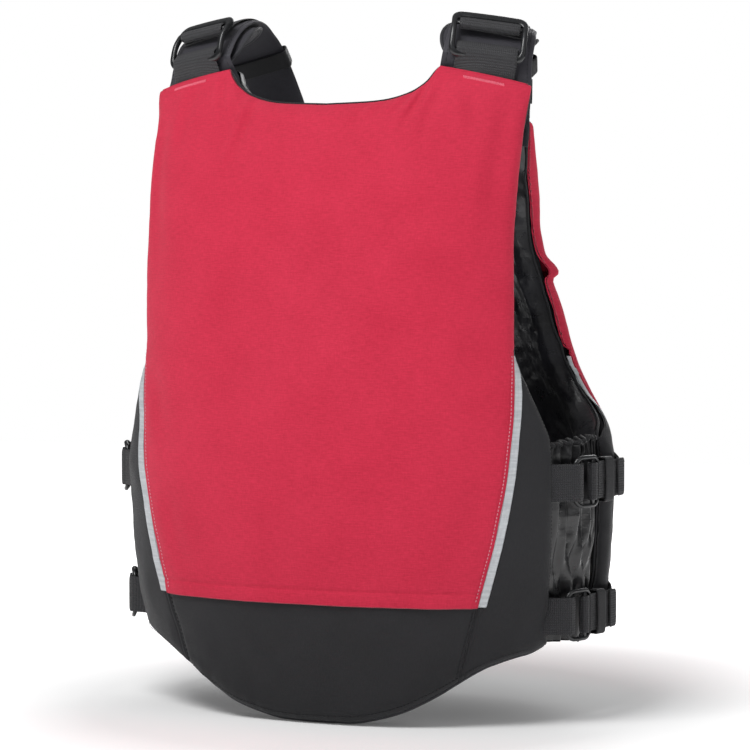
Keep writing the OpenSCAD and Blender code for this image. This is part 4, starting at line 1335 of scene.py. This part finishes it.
SH_C = np.array([127.9, 61.0, 556.4])
SH_X = unit([0.905, -0.365, -0.13])
SH_U = unit([0, -0.66, 0.75])
SH_U = unit(SH_U - (SH_U @ SH_X) * SH_X)
SH_N = np.cross(SH_U, SH_X)
RC = SH_C + SH_N * 1.3


def local_path(c, U_, N_, pts):
    return np.array([c + U_ * u + N_ * n for u, n in pts])


def closed_band(name, pts2, c, X_, U_, N_, width, thick, material, mirror, rib=2.0, amp=0.12, n_each=10):
    """Webbing turned round a bar: a closed ribbed band. pts2 is its middle line in the (u, n) plane."""
    p = smooth_path(np.array(pts2, float), n_each, True)
    m = len(p)
    T = np.roll(p, -1, 0) - np.roll(p, 1, 0)
    T /= np.linalg.norm(T, axis=1)[:, None]
    Nn = np.stack([T[:, 1], -T[:, 0]], -1)
    d = np.concatenate([[0], np.cumsum(np.linalg.norm(np.diff(p, axis=0), axis=1))])
    L = d[-1] + np.linalg.norm(p[0] - p[-1])
    k = max(1, round(L / rib))
    ribs = amp * np.cos(2 * PI * d / L * k)
    t = np.linspace(-1, 1, 17)
    t = np.sign(t) * (1 - (1 - np.abs(t)) ** 1.4)
    half = thick / 2 * np.clip(1 - np.abs(t) ** 10, 0.1, 1) ** 0.5
    V = []
    for i in range(m):
        ring = []
        for j in range(17):
            q = p[i] + Nn[i] * (half[j] + ribs[i] * min(1, (1 - abs(t[j])) * 8))
            ring.append(c + X_ * t[j] * width / 2 + U_ * q[0] + N_ * q[1])
        for j in range(16, -1, -1):
            q = p[i] - Nn[i] * half[j]
            ring.append(c + X_ * t[j] * width / 2 + U_ * q[0] + N_ * q[1])
        V.append(ring)
    V = np.array(V)
    n = V.shape[1]
    F = [[i * n + j, i * n + (j + 1) % n, ((i + 1) % m) * n + (j + 1) % n, ((i + 1) % m) * n + j] for i in range(m) for j in range(n)]
    V = V.reshape(-1, 3) / 1000
    if mirror:
        V = V * np.array([-1, 1, 1])
    xs = np.tile(np.concatenate([t, t[::-1]]) * width / 2000, m)
    wv = np.stack([xs, np.repeat(d / 1000, n), 0 * xs], -1)
    o = new_obj(name, V, F, material, True, wv)
    fix_normals(o)
    return o


def curl(o, mirror):
    """Bend the lower end of a shoulder piece down towards the neck, so that it slips under the edge of the back panel."""
    me = o.data
    v = np.empty(len(me.vertices) * 3, np.float32)
    me.vertices.foreach_get("co", v)
    v = v.reshape(-1, 3).astype(float) * 1000
    if mirror:
        v[:, 0] *= -1
    q = v - RC
    x, u, n = q @ SH_X, q @ SH_U, q @ SH_N
    w = np.clip((-u - 15.0) / 12.0, 0, 1)
    w = w * w * (3 - 2 * w) * (n > -70)
    v += ((-13.0 * np.clip(-x / 34.0, 0, 1.2) ** 2.0 - 2.0) * w)[:, None] * SH_N
    if mirror:
        v[:, 0] *= -1
    me.vertices.foreach_set("co", (v / 1000).astype(np.float32).ravel())
    me.update()
    return o


for _m, _sd in ((False, "left"), (True, "right")):
    fr = "front_" + _sd
    # padded strap: smooth cloth with a soft crown and a few cross creases
    d = np.linspace(K_at(-3) + 1, SD_[-1] - 1, 230)
    wr = lambda D, T: 0.5 * vn(D / 9.0, T * 1.3, 101) * np.exp(-((D - K_at(6)) / 40.0) ** 2) + 0.25 * vn(D / 22, T * 2.2, 103)
    o = strip("shoulder_strap_cloth_" + _sd, d, None, lambda D, T: 0.9 * (1 - T * T) + wr(D, T), lambda D, T: -5.8 + 0.5 * T * T + wr(D, T), STRAP, _m, 30, 5)
    curl(o, _m)
    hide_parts("shoulder_strap_" + _sd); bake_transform(o)
    for e in (-1, 1):
        Pp, w_, C_, N_ = on_path(d)
        tq = 1 - 3.6 / (w_ / 2)
        m_, h_ = (0.9 * (1 - tq ** 2) - 5.8 + 0.5 * tq ** 2) / 2, (0.9 * (1 - tq ** 2) + 5.8 - 0.5 * tq ** 2) / 2
        Q = Pp + C_ * (e * tq * w_ / 2)[:, None] + N_ * (m_ + h_ * np.sqrt(1 - tq ** 5) + wr(d, e * tq) - 0.05)[:, None]
        o = stitches("strap_stitches_%s_%s" % (_sd, "in" if e < 0 else "out"), Q, N_, 3.2, 2.1, 0.55, THREAD_BLK, _m)
        curl(o, _m)
        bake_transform(o)
    # oval pad under the strap
    a0, a1 = K_at(-0.3), K_at(7.6)
    ss = np.linspace(-1, 1, 90)
    ss = np.sin(ss * PI / 2)
    dd = (a0 + a1) / 2 + ss * (a1 - a0) / 2
    tt = np.linspace(-1, 1, 41)
    tt = np.sin(tt * PI / 2)
    Pp, w_, C_, N_ = on_path(dd[:, None] + 1.5 + 10.5 * tt[None, :] * np.sqrt(1 - ss[:, None] ** 2))
    hw = 43.5 * np.clip(1 - np.abs(ss) ** 2.5, 0, 1) ** (1 / 2.3) + 0.3
    hw = np.minimum(hw, 43.5) * (1 - 0.16 * np.clip(ss, 0, 1))
    Sg, Tg = np.meshgrid(ss, tt, indexing="ij")
    edge = np.clip(1 - np.abs(Tg) ** 3.2, 0, 1) ** 0.55 * np.clip(1 - np.abs(Sg) ** 5, 0, 1) ** 0.5
    side_w = np.where(Tg < 0, 0.925, 0.78)
    base = Pp + (Tg * side_w * hw[:, None])[..., None] * C_
    wob = 0.35 * vn(Sg * 3, Tg * 3, 111)
    seamline = -0.9 * np.exp(-((1 - np.abs(Tg)) * hw[:, None] / 1.6 - 2.6) ** 2)
    up = -8.6 + 3.4 * edge + wob + seamline * 0.6
    dn = -8.6 - 4.6 * edge + wob - seamline
    wv = np.stack([Tg * hw[:, None] / 1000, np.broadcast_to(dd[:, None] / 1000, Tg.shape), 0 * Tg], -1)
    o = slab("shoulder_pad_cloth_" + _sd, base + up[..., None] * N_, base + dn[..., None] * N_, STRAP, _m, wv)
    fix_normals(o)
    curl(o, _m)
    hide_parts("shoulder_pad_" + _sd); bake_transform(o)
    PR = np.concatenate([base[:, 0] - 8.6 * N_[:, 0] - 0.3 * C_[:, 0], (base[:, -1] - 8.6 * N_[:, -1] + 0.3 * C_[:, -1])[::-1]])
    o = tube("shoulder_pad_piping_" + _sd, resample(np.array(PR), 2.0)[0], 1.5, BIND, 8, True, _m, (0.3, 0.5, 0.7))
    curl(o, _m)
    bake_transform(o)
    # webbing from the back panel up to the ring
    pts = [(-50.3, -22.8), (-44, -19.6), (-38.5, -16.0), (-33, -12.2), (-28, -8.8), (-23.5, -5.4), (-19.5, -3.1), (-16, -2.3), (-12.5, -2.7), (-9, -4.2), (-6, -6.3)]
    Pw = smooth_path(local_path(RC, SH_U, SH_N, pts), 10)
    o = webbing("shoulder_webbing_back_" + _sd, Pw, SH_X, 49.5, 1.7, WEB, _m, rib=1.95, amp=0.17, step=0.4, nw=18)
    curl(o, _m)
    rider(o, "back", "shoulder_webbing_" + _sd, slot="webbing")
    # ring
    out2, in2 = rrect2(62.0, 43.0, 8.0, 10), rrect2(53.0, 31.0, 4.5, 10)
    in2 = in2 + np.array([0, -1.6])
    bow = lambda x, u: -0.0042 * u * u - 0.0009 * x * x * (u > 10) - 5.2 * np.clip(-u / 20, 0, 1.1) ** 1.3
    parts = [ring_mesh(out2, in2, 4.8, 20, 0.78, bow), bar_mesh((-27.5, 8.9), (27.5, 8.9), 4.8, 3.2, bow=bow)]
    V, F = merged(parts)
    o = solid("shoulder_ring_" + _sd, place(V, RC, SH_X, SH_U, SH_N), F, PLASTIC, _m)
    rider(o, "shoulder_adjuster_" + _sd, "shoulder_slider_" + _sd, slot="plastic")
    o = closed_band("shoulder_roll_" + _sd, [(4.6, -0.9), (5.6, 1.5), (9.0, 2.5), (12.0, 1.5), (13.0, -0.8), (11.9, -3.0), (8.9, -3.9), (5.6, -3.2)], RC, SH_X, SH_U, SH_N, 49.0, 1.6, WEB, _m, 1.9)
    rider(o, "shoulder_adjuster_" + _sd, "shoulder_loop_" + _sd, slot="webbing")
    # webbing over the top of the shoulder: starts under the ring's top bar
    dk = np.linspace(K_at(2.2), K_at(13.6), 420)
    fr_ = lambda D: np.clip((K_at(5.6) - D) / (K_at(5.6) - K_at(2.2)), 0, 1)
    rb = lambda D: 0.14 * np.cos(2 * PI * D / 1.95)
    tw = np.interp(dk, [K_at(2.2), K_at(5), K_at(8), K_at(13.6)], [49, 49, 46, 44])
    o = strip("shoulder_webbing_top_" + _sd, dk, tw, lambda D, T: 2.5 + 0.4 * fr_(D) + rb(D) + 0.35 * vn(D / 16, T * 0.6, 121), lambda D, T: 0.9 + 0.4 * fr_(D) - rb(D) + 0.35 * vn(D / 16, T * 0.6, 121), WEB, _m, 18, 10)
    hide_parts("shoulder_tail_" + _sd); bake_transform(o)
    # folded end of that webbing, held down by a keeper
    dk = np.linspace(K_at(7.4), K_at(12.1), 200)
    o = strip("shoulder_webbing_tail_" + _sd, dk, 41.0, lambda D, T: 4.9 + rb(D) + 1.2 * np.exp(-((D - K_at(11.7)) / 6.0) ** 2) + 0.8 * vn(D / 18, T * 0.5, 131), lambda D, T: 3.3 - rb(D) + 0.9 * np.exp(-((D - K_at(11.7)) / 6.0) ** 2) + 0.6 * vn(D / 18, T * 0.5, 131), WEB, _m, 16, 10)
    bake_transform(o)
    dk = np.linspace(K_at(11.0), K_at(12.35), 60)
    o = strip("shoulder_tail_fold_" + _sd, dk, 41.0, lambda D, T: 7.3 + rb(D) + 0.3 * vn(D / 8, T, 133), lambda D, T: 5.6 - rb(D) * 0.5, WEB, _m, 16, 8)
    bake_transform(o)
    Pp, w_, C_, N_ = on_path(np.array([K_at(10.0), K_at(10.1)]))
    Tq = unit(Pp[1] - Pp[0])
    o = closed_band("shoulder_keeper_" + _sd, [(-26.2, 0), (-25.3, 5.0), (-20, 6.4), (0, 6.8), (20, 6.4), (25.3, 5.0), (26.2, 0), (25.6, -6.6), (18, -7.4), (0, -7.6), (-18, -7.4), (-25.6, -6.6)], Pp[0], Tq, C_[0], N_[0], 15.0, 1.3, ELAST, _m, 1.4, 0.1, 8)
    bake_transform(o)

# ------------------------------------------------------------------ side straps
SDv = unit([25.5, -62.0, 0])
SNv = np.array([-SDv[1], SDv[0], 0])
ZV = np.array([0, 0, 1.0])
for _m, _sd in ((False, "left"), (True, "right")):
    fr = "front_" + _sd
    for lvl, zc, cc, fpath, root in (("upper", 198.0, (203.25, 45.0), [(213.6, 21.5), (216.2, 12), (216.6, 3), (215.2, -11.6), (209.6, -27.6), (204.1, -41.6), (198.3, -56), (191.5, -71.5)], [(-34, -12.2), (-31.0, -9.6), (-26, -5.4)]),
                                       ("lower", 90.0, (196.75, 45.0), [(207.1, 21.5), (209.6, 12), (210.2, 3), (208.6, -11.6), (204.2, -27.6), (199.2, -41.6), (194.2, -53.6), (187.5, -69)], [(-30, -15.5), (-26.5, -11.5), (-23, -6.8)])):
        pull = 0.0 if _m else -2.6
        c = np.array([cc[0], cc[1], zc]) + SNv * (4.6 + pull)
        near = lambda x, y, k=1.0: (x + SNv[0] * pull * k * min(1, max(0, (y + 40) / 40)), y + SNv[1] * pull * k * min(1, max(0, (y + 40) / 40)))
        pts = root + [(-18.5, -0.6), (-15.0, 2.4), (-11.5, 2.9), (-7.5, 1.4), (-3.5, -2.2), (-0.5, -5.2)]
        Pw = smooth_path(local_path(c, SDv, SNv, pts), 9)
        o = webbing("side_webbing_%s_%s" % (lvl, _sd), Pw, ZV, 30.0, 1.9, WEB2, _m, rib=1.7, amp=0.22, step=0.4, nw=14, wob=0.1)
        body = "side_adjuster_%s_%s" % (lvl, _sd)
        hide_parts("side_strap_%s_%s" % (lvl, _sd))
        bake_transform(o)
        out2, in2 = rrect2(42.4, 31.4, 9.5, 10), rrect2(35.6, 25.2, 6.4, 10)
        bow = lambda x, u: -0.010 * u * u + 1.0
        V, F = merged([ring_mesh(out2, in2, 3.3, 18, 0.9, bow), bar_mesh((-18.0, 5.6), (18.0, 5.6), 3.8, 3.2, bow=bow)])
        o = solid("side_ring_%s_%s" % (lvl, _sd), place(V, c, ZV, SDv, SNv), F, PLASTIC, _m)
        rider(o, body, "slider_%s_%s" % (lvl, _sd), slot="plastic")
        o = closed_band("side_roll_%s_%s" % (lvl, _sd), [(2.6, 0.6), (3.2, 3.0), (5.8, 4.1), (8.4, 3.0), (9.0, 0.4), (8.2, -1.8), (5.8, -2.7), (3.4, -1.9)], c, ZV, SDv, SNv, 30.0, 1.5, WEB2, _m, 1.7, 0.14)
        rider(o, body, slot="webbing")
        # strap from the ring to the front half, and its folded end under a keeper
        st = local_path(c, SDv, SNv, [(7.0, -4.4), (14, -4.6)])
        Pf = np.concatenate([st, np.array([near(x, y) + (zc,) for x, y in fpath])])
        o = webbing("front_webbing_%s_%s" % (lvl, _sd), smooth_path(Pf, 9), ZV, 30.0, 1.8, WEB2, _m, rib=1.7, amp=0.2, step=0.45, nw=14)
        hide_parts("front_strap_%s_%s" % (lvl, _sd))
        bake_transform(o)
        dx = fpath[0][0] - 213.6
        tail = [(213.4, 37), (214.6, 29), (216.6, 19), (218.6, 10), (219.4, 3), (219.7, -2.0), (220.9, -4.8), (222.2, -2.4), (222.2, 4), (221.6, 9)]
        o = webbing("side_tail_%s_%s" % (lvl, _sd), smooth_path(np.array([near(x + dx, y, 2.0) + (zc + 0.8,) for x, y in tail]), 9), ZV, 30.0, 1.8, WEB2, _m, rib=1.7, amp=0.2, step=0.4, nw=14)
        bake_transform(o)
        kc = np.array(near(214.0 + dx, 22.0, 1.8) + (zc + 0.3,))
        ku = unit([0.30, -0.954, 0])
        kn = np.array([-ku[1], ku[0], 0])
        o = closed_band("side_keeper_%s_%s" % (lvl, _sd), [(-17.6, 0.8), (-17.2, 4.2), (-13, 5.3), (0, 5.6), (13, 5.3), (17.2, 4.2), (17.6, 0.8), (17.0, -2.4), (12, -3.2), (0, -3.4), (-12, -3.2), (-17.0, -2.4)], kc, ku, ZV, kn, 11.0, 1.4, ELAST, _m, 1.5, 0.12, 7)
        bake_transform(o)

# ------------------------------------------------------------------ zip, waist belt, buckle
ZA = math.atan2(34, 350)


def zf(P):
    P = np.asarray(P, float)
    x, y, z = P[..., 0], P[..., 1], P[..., 2]
    return np.stack([x, y * math.cos(ZA) + z * math.sin(ZA) - 146, -y * math.sin(ZA) + z * math.cos(ZA) + 75], -1)


def rbox(cx, cy, cz, w, d, h, r):
    """A rounded block, as an extruded rounded rectangle with eased ends."""
    o2 = rrect2(w, d, r, 3)
    V, F = [], []
    k = len(o2)
    lv = [(-h / 2, 0.78), (-h / 2 + r * 0.35, 0.95), (-h / 2 + r, 1.0), (h / 2 - r, 1.0), (h / 2 - r * 0.35, 0.95), (h / 2, 0.78)]
    for z, s in lv:
        for x, y in o2:
            V.append((cx + x * s, cy + y * s, cz + z))
    for i in range(len(lv) - 1):
        for j in range(k):
            j2 = (j + 1) % k
            F.append([i * k + j, i * k + j2, (i + 1) * k + j2, (i + 1) * k + j])
    F.append(list(range(k))[::-1])
    F.append(list(range((len(lv) - 1) * k, len(lv) * k)))
    return np.array(V), F


for _m, _sd in ((False, "left"), (True, "right")):
    fr = "front_" + _sd
    zl = (420 - 75) / math.cos(ZA)
    zz = np.linspace(0, zl, 180)
    xx = np.linspace(2.6, 13.4, 14)
    X, Z = np.meshgrid(xx, zz, indexing="ij")
    bead = 0.75 * np.exp(-((X - 3.3) / 0.9) ** 2)
    o = slab("zip_tape_cloth_" + _sd, zf(np.stack([X, 1.95 - bead + 0.05 * np.sin(Z * 2), Z], -1)), zf(np.stack([X, 2.7 + bead, Z], -1)), ZIPTAPE, _m, np.stack([X / 1000, Z / 1000, 0 * X], -1))
    fix_normals(o)
    rider(o, fr, "zip_tape_" + _sd, slot="zip_tape")
    parts = []
    zo = 2.0 if _m else 0.0
    for k in range(int((zl - 22) // 4) + 1):
        z0 = 20 + 4 * k + 1.3
        v1, f1 = rbox(3.0, 1.6, z0, 2.7, 2.8, 2.5, 0.6)
        v2, f2 = rbox(1.75, 1.6, z0, 1.3, 1.9, 1.6, 0.4)
        parts += [(zf(v1), f1), (zf(v2), f2)]
    v1, f1 = rbox(3.2, 1.6, 12.5, 3.0, 3.0, 9.0, 0.8)
    parts.append((zf(v1), f1))
    V, F = merged(parts)
    rider(solid("zip_teeth_" + _sd, V, F, PLASTIC2, _m), fr, slot="zip_metal")

BZ = np.array([0.0, -(float(FB(122)) + 2.2), 122.0])


def bf(P):
    P = np.asarray(P, float)
    x, y, z = P[..., 0], P[..., 1], P[..., 2]
    return np.stack([x, y * math.cos(ZA) + z * math.sin(ZA) + BZ[1], -y * math.sin(ZA) + z * math.cos(ZA) + BZ[2]], -1)


for _m, _sd in ((False, "left"), (True, "right")):
    fr = "front_" + _sd
    f0 = float(FX(47, 122.0))
    ff = np.linspace(f0, 63.5, 60)
    Pb = S("F", ff, 122 + 0 * ff, 2.9)
    xb = np.abs(Pb[:, 0])
    Pb = S("F", ff, 122 + 0 * ff, 2.9 + 1.25 * np.clip((112 - xb) / 30, 0, 1) * np.clip((xb - 44) / 4, 0.25, 1))
    Pb[-3:] = S("F", ff[-3:], 122.0, np.array([1.6, -0.6, -3.0]))
    lead = np.array([[34.0, 0, 0], [39.5, 0, 0]])
    lead[:, 1] = Pb[0, 1] - 0.4
    lead[:, 2] = 122
    nrm = S("F", ff, 122.0, 5.0) - S("F", ff, 122.0, 0.0)
    crs = np.array([0, math.sin(ZA), math.cos(ZA)])
    o = webbing("waist_webbing_" + _sd, Pb, crs, 30.0, 1.8, WEB2, _m, rib=1.7, amp=0.2, step=0.45, nw=14)
    rider(o, fr, "waist_belt_" + _sd, slot="webbing")
    # box stitch where the belt is sewn down
    for a, b in ((56.5, 61.0),):
        row = np.array([(a, 110.0), (b, 110.0), (b, 134.0), (a, 134.0), (a, 110.0), (b, 134.0)])
        row, _q = resample(row, 0.6)
        Pr = S("F", row[:, 0], row[:, 1], 4.1)
        Nr = S("F", row[:, 0], row[:, 1], 6.0) - Pr
        rider(stitches("belt_stitches_" + _sd, Pr, Nr, 2.6, 1.9, 0.7, THREAD_BLK, _m), fr)

tp = np.array([(-46, -5.6, 0), (-60, -5.6, 0), (-75, -5.8, 0.2), (-90, -5.6, 0.3), (-104, -5.7, 0.2), (-108, -5.7, 0)], float)
o = webbing("waist_tail_webbing", bf(tp), np.array([0, math.sin(ZA), math.cos(ZA)]), 29.5, 1.7, WEB2, False, rib=1.7, amp=0.2, step=0.45, nw=14)
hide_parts("belt_tail")
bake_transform(o)


def dress(node, material, width=0.0006, seg=3):
    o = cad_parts[node]
    o.data.materials.clear()
    o.data.materials.append(material)
    b = o.modifiers.new("soft_edges", "BEVEL")
    b.width = width
    b.segments = seg
    b.limit_method = "ANGLE"
    b.angle_limit = math.radians(40)
    b.harden_normals = False


for _n in ("buckle_socket", "buckle_plug"):
    dress(_n, PLASTIC, 0.0008)
dress("zip_slider", PLASTIC2, 0.0003)
dress("zip_pull", PLASTIC, 0.0004)


# ------------------------------------------------------------------ floor, light
def floor():
    n = 40
    xs = np.linspace(-2.4, 2.4, n + 1)
    V, F = [], []
    for x in xs:
        for y in xs:
            V.append((x, y, -0.0006))
    F = grid_faces(n, n).tolist()
    M = Mat("floor_pale")
    g = M.noise(M.obj, 3.0, 3.0, 0.5)
    col = M.mix(M.rng(g, 0, 1, 0.3, 0.7), lin((244, 244, 244)), lin((249, 249, 249)))
    M.put(color=col, rough=0.85, spec=0.1)
    M.b.inputs["Emission Color"].default_value = (1, 1, 1, 1)
    ln = M.n("ShaderNodeVectorMath", operation="LENGTH")
    M.link(M.obj, ln.inputs[0])
    M.link(M.rng(ln.outputs["Value"], 0.08, 0.92, 0.24, 0.62), M.b.inputs["Emission Strength"])
    o = new_obj("floor", V, F, M.m, False)
    fix_normals(o)
    return o


floor()
W = bpy.data.worlds.new("studio")
SCN.world = W
W.use_nodes = True
_wn = W.node_tree
_wn.nodes.clear()
_o = _wn.nodes.new("ShaderNodeOutputWorld")
_mx = _wn.nodes.new("ShaderNodeMixShader")
_lp = _wn.nodes.new("ShaderNodeLightPath")
_b1, _b2 = _wn.nodes.new("ShaderNodeBackground"), _wn.nodes.new("ShaderNodeBackground")
_tc, _sx, _rp = _wn.nodes.new("ShaderNodeTexCoord"), _wn.nodes.new("ShaderNodeSeparateXYZ"), _wn.nodes.new("ShaderNodeValToRGB")
_wn.links.new(_tc.outputs["Generated"], _sx.inputs[0])
_mr = _wn.nodes.new("ShaderNodeMapRange")
_wn.links.new(_sx.outputs[2], _mr.inputs[0])
_mr.inputs[1].default_value, _mr.inputs[2].default_value = -1.0, 1.0
_mr.inputs[3].default_value, _mr.inputs[4].default_value = 0.0, 1.0
_wn.links.new(_mr.outputs[0], _rp.inputs[0])
_e = _rp.color_ramp.elements
_e[0].position, _e[0].color = 0.0, (0.066, 0.066, 0.068, 1)
_e[1].position, _e[1].color = 1.0, (0.36, 0.36, 0.364, 1)
for _p, _c in ((0.5, 0.085), (0.62, 0.11), (0.80, 0.25)):
    _k = _e.new(_p)
    _k.color = (_c, _c, _c * 1.01, 1)
_wn.links.new(_rp.outputs[0], _b1.inputs[0])
_b2.inputs[0].default_value = (1, 1, 1, 1)
_wn.links.new(_lp.outputs["Is Camera Ray"], _mx.inputs[0])
_wn.links.new(_b1.outputs[0], _mx.inputs[1])
_wn.links.new(_b2.outputs[0], _mx.inputs[2])
_wn.links.new(_mx.outputs[0], _o.inputs[0])
SCN.view_settings.view_transform = "Standard"


def area(name, loc, target, size, power, color=(1, 1, 1)):
    d = bpy.data.lights.new(name, "AREA")
    d.shape = "RECTANGLE"
    d.size, d.size_y = size
    d.energy = power
    d.color = color
    o = bpy.data.objects.new(name, d)
    SCN.collection.objects.link(o)
    o.location = loc
    o.rotation_euler = (Vector(target) - Vector(loc)).to_track_quat("-Z", "Y").to_euler()
    return o


area("key", Vector((0, 0, 1.9)) + cdir * 1.0 - rdir * 0.7, (0, 0, 0.35), (1.1, 0.8), 32)
area("front", Vector((0, 0, 1.1)) - cdir * 1.4 + rdir * 0.5, (0, 0, 0.3), (1.1, 0.8), 10)
area("fill", Vector((0, 0, 0.9)) + cdir * 1.2 + rdir * 1.3, (0, 0, 0.25), (0.8, 1.2), 2.6)
